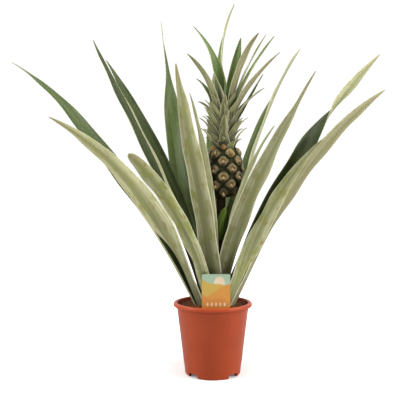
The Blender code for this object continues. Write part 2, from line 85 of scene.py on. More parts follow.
class Wiring:
    """Adds and links the nodes of one tree, whether a material's or a group's."""

    def __init__(self, tree: Group) -> None:
        """Works on the given tree."""
        self.tree = tree

    def add(self, kind: str, **settings: object) -> bpy.types.Node:
        """Adds one node.

        Args:
            kind: the node's type name.
            settings: properties to set on it.

        Returns:
            The new node.
        """
        node = self.tree.nodes.new(kind)
        for name, value in settings.items():
            setattr(node, name, value)
        return node

    def feed(self, socket: Socket, value: object) -> None:
        """Links an input to another node's output, or sets it to a constant.

        Args:
            socket: the input.
            value: an output socket, a number or a colour.
        """
        if isinstance(value, Socket):
            self.tree.links.new(value, socket)
        elif socket.type == "RGBA":
            socket.default_value = (*value, 1.0)
        else:
            socket.default_value = value

    def math(self, operation: str, first: object, second: object = 0.0) -> Socket:
        """Returns the result of a Math node on two values.

        Args:
            operation: what it does.
            first: the first value.
            second: the second value.

        Returns:
            The result.
        """
        node = self.add("ShaderNodeMath", operation=operation)
        self.feed(node.inputs[0], first)
        self.feed(node.inputs[1], second)
        return node.outputs[0]

    def times(self, first: object, second: object) -> Socket:
        """Returns the product of two values."""
        return self.math("MULTIPLY", first, second)

    def plus(self, first: object, second: object) -> Socket:
        """Returns the sum of two values."""
        return self.math("ADD", first, second)

    def minus(self, first: object, second: object) -> Socket:
        """Returns the first value less the second."""
        return self.math("SUBTRACT", first, second)

    def spread(
        self, value: object, low: object, high: float, start: float = 0.0, end: float = 1.0
    ) -> Socket:
        """Eases a value from one range to another.

        Args:
            value: what is mapped.
            low: the value that gives start.
            high: the value that gives end.
            start: the result at low.
            end: the result at high.

        Returns:
            The mapped value.
        """
        node = self.add("ShaderNodeMapRange", interpolation_type="SMOOTHSTEP")
        names = ("Value", "From Min", "From Max", "To Min", "To Max")
        for name, item in zip(names, (value, low, high, start, end)):
            self.feed(node.inputs[name], item)
        return node.outputs["Result"]

    def mix(self, share: object, first: object, second: object, blend: str = "MIX") -> Socket:
        """Returns the colour mixed from first to second by share.

        Args:
            share: how much of the second shows.
            first: the first colour.
            second: the second colour.
            blend: how the second is laid on the first.

        Returns:
            The colour.
        """
        node = self.add("ShaderNodeMix", data_type="RGBA", blend_type=blend)
        self.feed(node.inputs[0], share)
        self.feed(node.inputs[6], first)
        self.feed(node.inputs[7], second)
        return node.outputs[2]

    def dim(self, base: object, level: object) -> Socket:
        """Returns a colour made lighter or darker by one value."""
        return self.mix(1.0, base, self.place(level, level, level), "MULTIPLY")

    def grain(self, place: object, scale: object, detail: float = 3.0, rough: float = 0.5) -> Socket:
        """Returns the value of a Noise texture read at a place.

        Args:
            place: where it is read.
            scale: how fine it is.
            detail: how many finer layers it has.
            rough: how strong they are.

        Returns:
            The noise, round 0.5.
        """
        node = self.add("ShaderNodeTexNoise")
        self.feed(node.inputs["Vector"], place)
        self.feed(node.inputs["Scale"], scale)
        self.feed(node.inputs["Detail"], detail)
        self.feed(node.inputs["Roughness"], rough)
        return node.outputs["Fac"]

    def place(self, across: object, along: object, out: object) -> Socket:
        """Returns the three values as one vector.

        Args:
            across: the first value.
            along: the second value.
            out: the third value.

        Returns:
            The vector.
        """
        node = self.add("ShaderNodeCombineXYZ")
        for socket, value in zip(node.inputs, (across, along, out)):
            self.feed(socket, value)
        return node.outputs[0]

    def parts(self, vector: Socket) -> tuple[Socket, ...]:
        """Returns a vector's three values.

        Args:
            vector: the vector.

        Returns:
            Its three values.
        """
        node = self.add("ShaderNodeSeparateXYZ")
        self.feed(node.inputs[0], vector)
        return tuple(node.outputs)

    def attribute(self, name: str) -> tuple[Socket, ...]:
        """Returns the three values of a mesh attribute."""
        return self.parts(self.add("ShaderNodeAttribute", attribute_name=name).outputs["Vector"])

    def object_place(self) -> Socket:
        """Returns Object coordinates."""
        return self.add("ShaderNodeTexCoord").outputs["Object"]


def new_group(name: str, inputs: Sequence[str], outputs: Sequence[str]) -> tuple[Wiring, dict, dict]:
    """Starts a shader node group with float sockets.

    Args:
        name: the group's name. Place is read as a vector, and every other input is a float.
        inputs: the names of its inputs.
        outputs: the names of its outputs.

    Returns:
        The group's wiring, its inputs as sockets to read and its outputs as sockets to feed, both by name.
    """
    tree = bpy.data.node_groups.new(name, "ShaderNodeTree")
    for item in inputs:
        kind = "NodeSocketVector" if item == "Place" else "NodeSocketFloat"
        tree.interface.new_socket(item, in_out="INPUT", socket_type=kind)
    for item in outputs:
        tree.interface.new_socket(item, in_out="OUTPUT", socket_type="NodeSocketFloat")
    wiring = Wiring(tree)
    source = wiring.add("NodeGroupInput")
    target = wiring.add("NodeGroupOutput")
    given = {item: source.outputs[item] for item in inputs}
    return wiring, given, {item: target.inputs[item] for item in outputs}


def place_group(wiring: Wiring, group: Group, values: dict[str, object]) -> dict[str, Socket]:
    """Puts a node group in a tree.

    Args:
        wiring: the tree it goes in.
        group: the group.
        values: what each named input gets.

    Returns:
        Its outputs by name.
    """
    node = wiring.add("ShaderNodeGroup", node_tree=group)
    for name, value in values.items():
        wiring.feed(node.inputs[name], value)
    return {output.name: output for output in node.outputs}


def blade_pattern() -> Group:
    """Builds the pattern that every leaf shares, as masks over the blade.

    Returns:
        A group with inputs Across (-1 to 1), Along (0 to 1), Reach (metres), Seed and Hold (how far along
        the painted shade at the foot holds), and outputs Stripe, Fibre, Blotch, Rust, Margin, Tip, Foot
        (the mask of that painted shade), Keel and Flank, all from 0 to 1.
    """
    wiring, given, wanted = new_group(
        "blade_pattern",
        ("Across", "Along", "Reach", "Seed", "Hold"),
        ("Stripe", "Fibre", "Blotch", "Rust", "Margin", "Tip", "Foot", "Keel", "Flank"),
    )
    edge = wiring.math("ABSOLUTE", given["Across"])

    def streaks(across: float, reach: float, detail: float, shift: float) -> Socket:
        """Returns noise drawn out along the blade.

        Args:
            across: how fine it is over the width.
            reach: how fine it is along the blade.
            detail: how many finer layers it has.
            shift: what sets it apart from the other streaks.

        Returns:
            The noise, round 0.5.
        """
        spot = wiring.place(
            wiring.times(given["Across"], across),
            wiring.times(given["Reach"], reach),
            wiring.plus(given["Seed"], shift),
        )
        return wiring.grain(spot, 1.0, detail, 0.6)

    calm = wiring.spread(given["Along"], 0.40, 0.85, 1.0, 0.2)

    def even_out(mask: Socket) -> Socket:
        """Returns a mask drawn towards its middle value where the blade narrows."""
        swing = wiring.times(wiring.minus(mask, 0.5), calm)
        return wiring.plus(swing, 0.5)

    wiring.feed(wanted["Stripe"], even_out(wiring.spread(streaks(4.0, 2.5, 2.0, 0.0), 0.34, 0.66)))
    wiring.feed(wanted["Fibre"], even_out(wiring.spread(streaks(18.0, 9.0, 1.0, 3.7), 0.3, 0.7)))
    wiring.feed(wanted["Blotch"], wiring.spread(streaks(1.3, 38.0, 4.0, 11.3), 0.46, 0.66))
    wiring.feed(wanted["Rust"], wiring.spread(streaks(2.6, 64.0, 5.0, 19.9), 0.54, 0.70))
    wobble = wiring.times(wiring.minus(streaks(0.5, 60.0, 2.0, 7.1), 0.5), 0.08)
    brink = wiring.plus(edge, wobble)
    thin = wiring.spread(given["Along"], 0.70, 0.95, 1.0, 0.3)
    margin = wiring.spread(brink, 0.86, 0.98)
    wiring.feed(wanted["Margin"], wiring.times(margin, thin))
    ragged = wiring.times(wiring.minus(streaks(2.0, 6.0, 2.0, 23.1), 0.5), 0.12)
    wiring.feed(wanted["Tip"], wiring.spread(wiring.plus(given["Along"], ragged), 0.88, 1.02))
    # Foot: painted shade that darkens each leaf towards its foot, fading out at Hold of its length
    wiring.feed(wanted["Foot"], wiring.spread(given["Along"], given["Hold"], 0.0))
    wiring.feed(wanted["Keel"], wiring.spread(brink, 0.50, 0.05))
    wiring.feed(wanted["Flank"], wiring.times(wiring.spread(brink, 0.45, 0.90), calm))
    return wiring.tree


def mineral_grain() -> Group:
    """Builds the speckle that pot, soil, card, bark and skin share.

    Returns:
        A group with inputs Place, Coarse and Fine, the two scales, and outputs Cloud, Speckle and Height.
    """
    wiring, given, wanted = new_group(
        "mineral_grain", ("Place", "Coarse", "Fine"), ("Cloud", "Speckle", "Height")
    )
    cloud = wiring.grain(given["Place"], given["Coarse"])
    speckle = wiring.grain(given["Place"], given["Fine"], 4.0)
    wiring.feed(wanted["Cloud"], wiring.spread(cloud, 0.3, 0.7))
    wiring.feed(wanted["Speckle"], wiring.spread(speckle, 0.42, 0.68))
    wiring.feed(wanted["Height"], speckle)
    return wiring.tree


# Finishes


@dataclass(frozen=True)
class Gloss:
    """How a surface takes light: its roughness, its shine and the strength and depth of its relief."""

    roughness: float
    relief: float
    relief_depth: float
    specular: float = 0.5
    roughness_swing: float = 0.12


@dataclass(frozen=True)
class Finish:
    """A material's name and how it takes light. Each kind of finish lays its own colours."""

    name: str
    gloss: Gloss

    def colour(self, wiring: Wiring, group: Group) -> tuple[Socket, Socket, Socket]:
        """Returns the colour, a mask for the roughness and the relief's height, laid in the wiring."""
        raise NotImplementedError

    def make(self, group: Group) -> Material:
        """Makes the material round one Principled shader, with the given pattern or grain.

        Args:
            group: the shared pattern or grain.

        Returns:
            The material.
        """
        made = bpy.data.materials.new(self.name)
        made.use_nodes = True
        wiring = Wiring(made.node_tree)
        shader = made.node_tree.nodes["Principled BSDF"]
        base, mask, height = self.colour(wiring, group)
        gloss = self.gloss
        low, high = gloss.roughness - gloss.roughness_swing, gloss.roughness + gloss.roughness_swing
        wiring.feed(shader.inputs["Base Color"], base)
        wiring.feed(shader.inputs["Roughness"], wiring.spread(mask, 0.0, 1.0, low, high))
        shader.inputs["Specular IOR Level"].default_value = gloss.specular
        bump = wiring.add("ShaderNodeBump")
        bump.inputs["Strength"].default_value = gloss.relief
        bump.inputs["Distance"].default_value = gloss.relief_depth
        wiring.feed(bump.inputs["Height"], height)
        wiring.feed(shader.inputs["Normal"], bump.outputs["Normal"])
        return made


@dataclass(frozen=True)
class BladeFinish(Finish):
    """The colours of one side of a leaf, each laid over the last where its mask shows, with painted light and
    shade.
    """

    ground: Colour
    stripe: Colour
    keel: Colour
    blotch: Colour
    rust: Colour
    dry: Colour
    # painted shade: the darker, greener colour each leaf takes towards its foot
    foot: Colour
    tip: Colour
    margin: Colour
    keel_share: float = 0.75
    flank_share: float = 0.55
    margin_share: float = 0.8
    # how strongly the painted shade at the foot shows, and how far along the leaf it holds
    foot_shade_share: float = 0.6
    hold: float = 0.32

    def colour(self, wiring: Wiring, group: Group) -> tuple[Socket, Socket, Socket]:
        """Lays the masks' colours over the ground.

        Args:
            wiring: the material's wiring.
            group: the shared pattern or grain that gives the masks.

        Returns:
            The colour, a mask for the roughness and the relief's height.
        """
        across, along, reach = wiring.attribute("blade")
        seed, age, blotch = wiring.attribute("tone")
        # light carries the leaf's painted light and shade, set by the Leaf's light, pale and low
        light, rim, dried = wiring.attribute("shade")
        given = {"Across": across, "Along": along, "Reach": reach, "Seed": seed, "Hold": self.hold}
        masks = place_group(wiring, group, given)
        layers = (
            ("Keel", self.keel_share, self.keel),
            ("Flank", self.flank_share, self.stripe),
            ("Blotch", blotch, self.blotch),
            ("Rust", blotch, self.rust),
        )
        base = wiring.mix(masks["Stripe"], self.ground, self.stripe)
        for mask, share, colour in layers:
            base = wiring.mix(wiring.times(masks[mask], share), base, colour)
        fine = wiring.spread(masks["Fibre"], 0.0, 1.0, 0.84, 1.12)
        base = wiring.dim(base, fine)
        # Painted shade towards the foot
        base = wiring.mix(wiring.times(masks["Foot"], self.foot_shade_share), base, self.foot)
        base = wiring.mix(age, base, self.dry)
        # Painted light: the whole leaf made lighter or darker as it is lit
        base = wiring.dim(base, light)
        base = wiring.mix(wiring.times(masks["Tip"], dried), base, self.tip)
        edge = wiring.times(masks["Margin"], wiring.times(rim, self.margin_share))
        base = wiring.mix(edge, base, self.margin)
        return base, masks["Stripe"], masks["Stripe"]


ROSETTE_UNDER = BladeFinish(
    name="leaf_underside",
    ground=(0.270, 0.280, 0.120),
    stripe=(0.50, 0.50, 0.29),
    keel=(0.19, 0.21, 0.085),
    blotch=(0.252, 0.274, 0.075),
    rust=(0.27, 0.20, 0.05),
    dry=(0.30, 0.235, 0.125),
    foot=(0.17, 0.195, 0.085),
    tip=(0.36, 0.29, 0.15),
    margin=(0.74, 0.71, 0.50),
    gloss=Gloss(roughness=0.52, relief=0.15, relief_depth=0.0005, specular=0.3),
)
ROSETTE_UPPER = BladeFinish(
    name="leaf_upper_side",
    ground=(0.030, 0.044, 0.012),
    # Partly painted sheen: these lighter streaks on the dark ground stand for the waxy upper side's sheen as
    # well as its stripes
    stripe=(0.070, 0.098, 0.026),
    keel=(0.070, 0.100, 0.030),
    blotch=(0.070, 0.105, 0.020),
    rust=(0.12, 0.12, 0.03),
    dry=(0.20, 0.18, 0.07),
    foot=(0.018, 0.028, 0.007),
    tip=(0.24, 0.24, 0.10),
    margin=(0.46, 0.48, 0.24),
    gloss=Gloss(roughness=0.45, relief=0.12, relief_depth=0.0005, specular=0.25),
    keel_share=0.5,
    flank_share=0.1,
    margin_share=0.6,
)
CROWN_UNDER = replace(
    ROSETTE_UNDER,
    name="crown_underside",
    ground=(0.25, 0.24, 0.110),
    stripe=(0.48, 0.46, 0.27),
    keel=(0.20, 0.19, 0.085),
    dry=(0.33, 0.26, 0.14),
    # A near-black foot held over much of the leaf: strong painted shade at the foot of the crown's leaves
    foot=(0.035, 0.040, 0.014),
    tip=(0.27, 0.20, 0.10),
    margin=(0.66, 0.64, 0.45),
    gloss=Gloss(roughness=0.5, relief=0.12, relief_depth=0.0003, specular=0.3),
    foot_shade_share=0.92,
    flank_share=0.4,
    hold=0.62,
)
CROWN_UPPER = replace(
    ROSETTE_UPPER,
    name="crown_upper_side",
    ground=(0.085, 0.125, 0.030),
    stripe=(0.17, 0.235, 0.065),
    keel=(0.10, 0.155, 0.035),
    foot=(0.025, 0.045, 0.008),
    tip=(0.15, 0.13, 0.06),
    margin=(0.40, 0.42, 0.22),
    gloss=Gloss(roughness=0.45, relief=0.12, relief_depth=0.0003, specular=0.25),
)
STALK_UNDER = replace(
    CROWN_UPPER,
    name="stalk_leaf_underside",
    ground=(0.07, 0.12, 0.008),
    stripe=(0.13, 0.19, 0.015),
    foot=(0.02, 0.035, 0.004),
    tip=(0.24, 0.24, 0.05),
    margin=(0.26, 0.32, 0.08),
)


@dataclass(frozen=True)
class SpeckleFinish(Finish):
    """A surface of two clouded colours with a third in specks."""

    first: Colour
    second: Colour
    speck: Colour
    coarse: float = 40.0
    fine: float = 400.0
    speck_share: float = 0.5

    def colour(self, wiring: Wiring, group: Group) -> tuple[Socket, Socket, Socket]:
        """Mixes the clouds and lays the specks over them.

        Args:
            wiring: the material's wiring.
            group: the shared pattern or grain that gives the masks.

        Returns:
            The colour, a mask for the roughness and the relief's height.
        """
        spot = wiring.object_place()
        masks = place_group(wiring, group, {"Place": spot, "Coarse": self.coarse, "Fine": self.fine})
        base = wiring.mix(masks["Cloud"], self.first, self.second)
        base = wiring.mix(wiring.times(masks["Speckle"], self.speck_share), base, self.speck)
        return base, masks["Cloud"], masks["Height"]


POT_PLASTIC = SpeckleFinish(
    name="terracotta_plastic",
    first=(0.41, 0.054, 0.011),
    second=(0.45, 0.062, 0.014),
    speck=(0.49, 0.084, 0.024),
    gloss=Gloss(roughness=0.38, roughness_swing=0.05, relief=0.12, relief_depth=0.0002, specular=0.3),
    coarse=28.0,
    fine=900.0,
    speck_share=0.25,
)
PEAT = SpeckleFinish(
    name="peat",
    first=(0.07, 0.025, 0.010),
    second=(0.17, 0.060, 0.024),
    speck=(0.30, 0.12, 0.055),
    gloss=Gloss(roughness=0.85, relief=0.8, relief_depth=0.0012, specular=0.15),
    coarse=160.0,
    fine=900.0,
    speck_share=0.6,
)
STALK_BARK = SpeckleFinish(
    name="stalk_bark",
    first=(0.016, 0.011, 0.004),
    second=(0.045, 0.030, 0.012),
    speck=(0.09, 0.06, 0.025),
    gloss=Gloss(roughness=0.75, relief=0.6, relief_depth=0.0008, specular=0.15),
    coarse=90.0,
    fine=500.0,
)
GROOVE_SKIN = SpeckleFinish(
    name="fruit_groove",
    first=(0.010, 0.012, 0.003),
    second=(0.030, 0.030, 0.008),
    speck=(0.07, 0.055, 0.018),
    gloss=Gloss(roughness=0.65, relief=0.5, relief_depth=0.0006, specular=0.15),
    coarse=120.0,
    fine=700.0,
)


class EyePart(Enum):
    """The zones of one eye of the fruit, which are also its material slots."""

    GROOVE = 0
    FLESH = 1
    BRACT = 2


@dataclass(frozen=True)
class EyeFinish(Finish):
    """The rind of the fruit's eyes: a dark rim of painted shadow, a pale ring, a browned middle, yellower
    towards the crown and darker towards the bottom.
    """

    name: str = "fruit_eye"
    # rim: painted shadow, darkest where the eye dips into its groove
    rim: Colour = (0.030, 0.028, 0.008)
    ring: Colour = (0.21, 0.150, 0.055)
    ring_high: Colour = (0.38, 0.30, 0.080)
    green: Colour = (0.115, 0.112, 0.034)
    middle: Colour = (0.16, 0.060, 0.016)
    # laid over the ring towards the fruit's bottom, making it darker there
    bottom_dark: Colour = (0.055, 0.028, 0.012)
    fleck: Colour = (0.38, 0.29, 0.16)
    gloss: Gloss = Gloss(roughness=0.5, relief=0.6, relief_depth=0.0008, specular=0.3)

    def colour(self, wiring: Wiring, group: Group) -> tuple[Socket, Socket, Socket]:
        """Colours the eye from its rim to its middle, by the attribute eye: radius, height and seed.

        Args:
            wiring: the material's wiring.
            group: the shared pattern or grain that gives the masks.

        Returns:
            The colour, a mask for the roughness and the relief's height.
        """
        radius, height, seed = wiring.attribute("eye")
        spot = wiring.object_place()
        masks = place_group(wiring, group, {"Place": spot, "Coarse": 260.0, "Fine": 900.0})
        swing = wiring.times(wiring.minus(wiring.grain(spot, 320.0, 3.0), 0.5), 0.7)
        reach = wiring.plus(radius, swing)
        ring = wiring.mix(wiring.spread(height, 0.62, 0.95), self.ring, self.ring_high)
        ring = wiring.mix(wiring.spread(wiring.grain(spot, 420.0, 3.0), 0.42, 0.60), ring, self.green)
        ring = wiring.mix(wiring.times(masks["Speckle"], 0.5), ring, self.fleck)
        # Darker towards the fruit's bottom
        ring = wiring.mix(wiring.spread(height, 0.38, 0.05, 0.0, 0.85), ring, self.bottom_dark)
        base = wiring.mix(wiring.spread(reach, 0.55, 0.20), ring, self.middle)
        # The rim's painted shadow, where the eye dips into its groove
        base = wiring.mix(wiring.spread(reach, 0.62, 0.90), base, self.rim)
        shade = wiring.spread(seed, 0.0, 1.0, 0.80, 1.18)
        base = wiring.dim(base, shade)
        return base, masks["Cloud"], masks["Height"]


@dataclass(frozen=True)
class BractFinish(Finish):
    """The papery scale of each eye: brown at its foot, cream at its fringe, orange-yellow near the crown."""

    name: str = "fruit_bract"
    foot: Colour = (0.09, 0.040, 0.016)
    foot_high: Colour = (0.26, 0.12, 0.020)
    fringe: Colour = (0.40, 0.30, 0.13)
    fringe_high: Colour = (0.60, 0.33, 0.040)
    gloss: Gloss = Gloss(roughness=0.6, relief=0.4, relief_depth=0.0004, specular=0.25)

    def colour(self, wiring: Wiring, group: Group) -> tuple[Socket, Socket, Socket]:
        """Runs from the foot's colour to the fringe's, by the attribute eye: radius, height and seed.

        Args:
            wiring: the material's wiring.
            group: the shared pattern or grain that gives the masks.

        Returns:
            The colour, a mask for the roughness and the relief's height.
        """
        radius, height, _ = wiring.attribute("eye")
        spot = wiring.object_place()
        masks = place_group(wiring, group, {"Place": spot, "Coarse": 300.0, "Fine": 1200.0})
        fringe = wiring.mix(wiring.spread(height, 0.80, 0.97), self.fringe, self.fringe_high)
        reach = wiring.plus(radius, wiring.times(masks["Height"], 0.3))
        foot = wiring.mix(wiring.spread(height, 0.78, 0.95), self.foot, self.foot_high)
        base = wiring.mix(wiring.spread(reach, 0.35, 1.05), foot, fringe)
        return base, masks["Cloud"], masks["Height"]


@dataclass(frozen=True)
class CardFinish(Finish):
    """The label's print: a blue-green sky, a cream sun behind golden and orange hills, and a row of seeds."""

    name: str = "label_print"
    centre: Colour = (0.0, 0.0, 0.0)
    size: Pair = (0.04, 0.05)
    golden: Colour = (0.58, 0.38, 0.07)
    rust: Colour = (0.62, 0.23, 0.03)
    cream: Colour = (0.76, 0.61, 0.42)
    orange: Colour = (0.64, 0.27, 0.04)
    pale_blue: Colour = (0.36, 0.50, 0.36)
    gloss: Gloss = Gloss(roughness=0.38, roughness_swing=0.06, relief=0.05, relief_depth=0.0001)

    def colour(self, wiring: Wiring, group: Group) -> tuple[Socket, Socket, Socket]:
        """Prints the shapes one over the other on the card's own axes, which run from -0.5 to 0.5.

        Args:
            wiring: the material's wiring.
            group: the shared pattern or grain that gives the masks.

        Returns:
            The colour, a mask for the roughness and the relief's height.
        """
        spot = wiring.object_place()
        mapping = wiring.add("ShaderNodeMapping", vector_type="TEXTURE")
        mapping.inputs["Location"].default_value = self.centre
        mapping.inputs["Scale"].default_value = (self.size[0], 1.0, self.size[1])
        wiring.feed(mapping.inputs["Vector"], spot)
        across, _, up = wiring.parts(mapping.outputs[0])
        masks = place_group(wiring, group, {"Place": spot, "Coarse": 90.0, "Fine": 1500.0})

        def disc(x: float, z: float, radius: float, stretch: float = 1.0) -> Socket:
            """Returns the mask of a round or oval spot.

            Args:
                x: how far right its middle is.
                z: how high its middle is.
                radius: its radius.
                stretch: how many times as tall as wide it is.

            Returns:
                The mask.
            """
            side = wiring.times(wiring.minus(across, x), stretch)
            rise = wiring.minus(up, z)
            squares = wiring.plus(wiring.times(side, side), wiring.times(rise, rise))
            return wiring.spread(wiring.math("SQRT", squares), radius + 0.015, radius - 0.015)

        def hill(height: float, slope: float, swell: float) -> Socket:
            """Returns the mask of everything below a wavy line.

            Args:
                height: how high the line is in the middle.
                slope: how steeply it climbs to the right.
                swell: how closely its waves stand.

            Returns:
                The mask.
            """
            wave = wiring.times(wiring.math("SINE", wiring.times(across, swell)), 0.05)
            line = wiring.plus(wiring.times(across, slope), wave)
            return wiring.spread(wiring.minus(up, line), height + 0.012, height - 0.012)

        base = wiring.mix(disc(0.12, 0.24, 0.19), self.pale_blue, self.cream)
        base = wiring.mix(hill(0.22, -0.30, 6.0), base, self.golden)
        base = wiring.mix(hill(0.02, 0.34, 5.0), base, self.orange)
        base = wiring.mix(hill(-0.20, -0.16, 8.0), base, self.rust)
        for seed_x in (-0.30, -0.15, 0.0, 0.15, 0.30):
            base = wiring.mix(disc(seed_x, -0.37, 0.055, 1.7), base, self.cream)
        base = wiring.mix(wiring.times(masks["Speckle"], 0.10), base, self.cream)
        return base, masks["Cloud"], masks["Height"]


# Making pieces


def put(name: str, data: bpy.types.ID) -> bpy.types.Object:
    """Adds an object that shows the data to the scene, at the origin.

    Args:
        name: the object's name.
        data: what it shows.

    Returns:
        The object.
    """
    made = bpy.data.objects.new(name, data)
    bpy.context.scene.collection.objects.link(made)
    return made


def mesh_of(name: str, form: Form) -> bpy.types.Mesh:
    """Turns a form into a mesh and frees the form.

    Args:
        name: the mesh's name.
        form: the form, which is used up.

    Returns:
        The mesh.
    """
    mesh = bpy.data.meshes.new(name)
    form.to_mesh(mesh)
    form.free()
    return mesh


def edges_at(corners: Iterable[Corner]) -> list[Edge]:
    """Returns the edges that meet at the vertices."""
    return list(dict.fromkeys(edge for corner in corners for edge in corner.link_edges))


def faces_at(corners: Iterable[Corner]) -> list[Face]:
    """Returns the faces that meet at the vertices."""
    return list(dict.fromkeys(face for corner in corners for face in corner.link_faces))


def of_kind(items: Iterable[object], kind: type) -> list:
    """Returns the items of one kind."""
    return [item for item in items if isinstance(item, kind)]


def paint(faces: Iterable[Face], slot: int) -> None:
    """Gives faces the material in a slot."""
    for face in faces:
        face.material_index = slot


def bridge(form: Form, rings: Sequence[Iterable[Corner]], sides: int) -> None:
    """Joins rings of vertices, each to the next, and closes the first and the last, both of some sides.

    Args:
        form: the bmesh they are in.
        rings: the rings, in order.
        sides: how many sides the first and the last have.
    """
    loops = [edges_at(ring) for ring in rings]
    for lower, upper in zip(loops, loops[1:]):
        bmesh.ops.bridge_loops(form, edges=lower + upper)
    bmesh.ops.holes_fill(form, edges=loops[0] + loops[-1], sides=sides)


def middle_x(low: Vector, high: Vector) -> float:
    """Returns the x halfway between two corners of a box."""
    return (low.x + high.x) / 2.0


def outward_from(turn: float) -> Vector:
    """Returns the level direction at a turn in radians: 0 is the front and a quarter turn is the right."""
    return Vector((math.sin(turn), -math.cos(turn), 0.0))


@dataclass
class Workshop:
    """Turns finished forms into pieces that ride on the plant's one body."""

    body: str = BODY
    sharp_from: float = 38.0

    def piece(
        self,
        name: str,
        form: Form,
        surfaces: Iterable[Material],
        slot: str,
        stands_for: Sequence[str] = (),
    ) -> bpy.types.Object:
        """Makes a smooth-shaded piece at the origin.

        Args:
            name: its name.
            form: its shape, which is used up.
            surfaces: the materials of its slots.
            slot: not used.
            stands_for: the CAD nodes it replaces.

        Returns:
            The piece.
        """
        mesh = mesh_of(name, form)
        for surface in surfaces:
            mesh.materials.append(surface)
        for face in mesh.polygons:
            face.use_smooth = True
        mesh.set_sharp_from_angle(angle=math.radians(self.sharp_from))
        made = put(name, mesh)
        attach(made, self.body)
        if stands_for:
            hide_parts(*stands_for)
        LOG.info("%s: %d faces", name, len(mesh.polygons))
        return made


def turned(form: Form, profile: Sequence[Pair], centre: Vector, steps: int) -> None:
    """Spins an open profile of (radius, height) points about a vertical axis and closes its poles.

    Args:
        form: the bmesh it is added to.
        profile: the points, from the axis round the outside and back to the axis.
        centre: a point on the axis, from which heights are measured.
        steps: the number of sides.
    """
    line = [form.verts.new(centre + Vector((radius, 0.0, height))) for radius, height in profile]
    edges = [form.edges.new(pair) for pair in zip(line, line[1:])]
    before = set(form.verts) - set(line)
    bmesh.ops.spin(
        form,
        geom=line + edges,
        cent=centre,
        axis=(0.0, 0.0, 1.0),
        angle=math.tau,
        steps=steps,
        use_merge=True,
    )
    made = [corner for corner in form.verts if corner not in before]
    bmesh.ops.remove_doubles(form, verts=made, dist=1e-6)
    made = [corner for corner in form.verts if corner not in before]
    bmesh.ops.recalc_face_normals(form, faces=faces_at(made))


# Leaves


@dataclass(frozen=True)
class Leaf:
    """One leaf. Angles are in degrees: turn 0 is to the front and 90 to the right; lean is from upright."""

    turn: float
    layer: int
    length: float
    width: float
    lean: Pair
    bend: float = 1.2
    sweep: float = 0.0
    roll: Pair = (0.0, 0.0)
    taper: float = 0.0
    round_tip: bool = False
    hollow: float = 1.0
    age: float = 0.0
    blotch: float = 0.4
    # Painted light and shade: light makes the whole leaf lighter or darker as it is lit, pale does the same
    # for the underside alone, and low is the painted shade it takes towards its foot.
    light: float = 1.0
    pale: float = 0.0
    low: float = 1.0
    rim: float = 1.0
    dried: float = 0.6

    def shade(self, along: float, under: bool) -> tuple[float, float, float]:
        """Returns a side's painted light there, with painted shade towards the foot (pale is the underside's
        own), its rim and dried tip.
        """
        level = (self.pale or self.light) if under else self.light
        return level * between(self.low, 1.0, smooth_step(along / 0.6)), self.rim, self.dried


@dataclass(frozen=True)
class BladeLaw:
    """How a kind of leaf grows: the widest angle of its clasp, its folds and its tip, as in the solids."""

    clasp_limit: float
    fold: Pair
    thickness: float
    taper: float
    clasp: float = 1.15
    tip_width: float = 0.0012

    def axes(self, leaf: Leaf, along: float) -> tuple[Vector, Vector, Vector]:
        """Finds the blade's directions at a share of its length.

        Args:
            leaf: the leaf.
            along: the share, 0 at the foot.

        Returns:
            The directions of the midrib, of the width and of the upper side.
        """
        turn = math.radians(leaf.turn + leaf.sweep * along**1.6)
        lean = math.radians(between(*leaf.lean, along**leaf.bend))
        rib = Vector((math.sin(lean) * math.sin(turn), -math.sin(lean) * math.cos(turn), math.cos(lean)))
        side = Vector((math.cos(turn), math.sin(turn), 0.0))
        upper = rib.cross(side)
        roll = leaf.roll[0] * smooth_step((along - 0.12) / 0.38)
        roll += (leaf.roll[1] - leaf.roll[0]) * smooth_step((along - 0.5) / 0.45)
        twist = math.radians(roll)
        wide = side * math.cos(twist) + upper * math.sin(twist)
        return rib, wide, upper * math.cos(twist) - side * math.sin(twist)

    def clasp_angle(self, leaf: Leaf, radius: float) -> float:
        """Returns the angle of stem that the foot clasps, in radians."""
        return math.radians(min(self.clasp_limit, max(60.0, math.degrees(self.clasp * leaf.width / radius))))

    def width(self, leaf: Leaf, radius: float, along: float) -> float:
        """Returns the blade's width at a share of its length.

        Args:
            leaf: the leaf.
            radius: how far from the axis its foot stands.
            along: the share, 0 at the foot.

        Returns:
            The width.
        """
        full = between(radius * self.clasp_angle(leaf, radius), leaf.width, smooth_step(along / 0.28))
        if leaf.round_tip:
            return full * math.sqrt(max(1.0 - along**10, 0.0)) + self.tip_width
        return full * (1.0 - along ** (leaf.taper or self.taper)) ** 0.9 + self.tip_width

    def channel(self, leaf: Leaf, radius: float, along: float) -> float:
        """Returns the angle through which the blade is folded across, in radians.

        Args:
            leaf: the leaf.
            radius: how far from the axis its foot stands.
            along: the share of its length.

        Returns:
            The angle.
        """
        middle, tip = (math.radians(angle * leaf.hollow) for angle in self.fold)
        fold = between(self.clasp_angle(leaf, radius), middle, smooth_step(along / 0.3))
        return fold + (tip - middle) * min(max((along - 0.4) / 0.6, 0.0), 1.0)

    def section(
        self, leaf: Leaf, radius: float, across: float, along: float
    ) -> tuple[Vector, Vector, Vector]:
        """Finds a point of the channelled blade.

        Args:
            leaf: the leaf.
            radius: how far from the axis its foot stands.
            across: the share of its half width, -1 to 1.
            along: the share of its length.

        Returns:
            The point, from the midrib, and the directions of the upper side and of the width there.
        """
        _, side, upper = self.axes(leaf, along)
        fold = self.channel(leaf, radius, along)
        curl = self.width(leaf, radius, along) / fold
        angle = across * fold / 2.0
        inward = upper * math.cos(angle) - side * math.sin(angle)
        point = side * (curl * math.sin(angle)) + upper * (curl * (1.0 - math.cos(angle)))
        return point, inward, side * math.cos(angle) + upper * math.sin(angle)


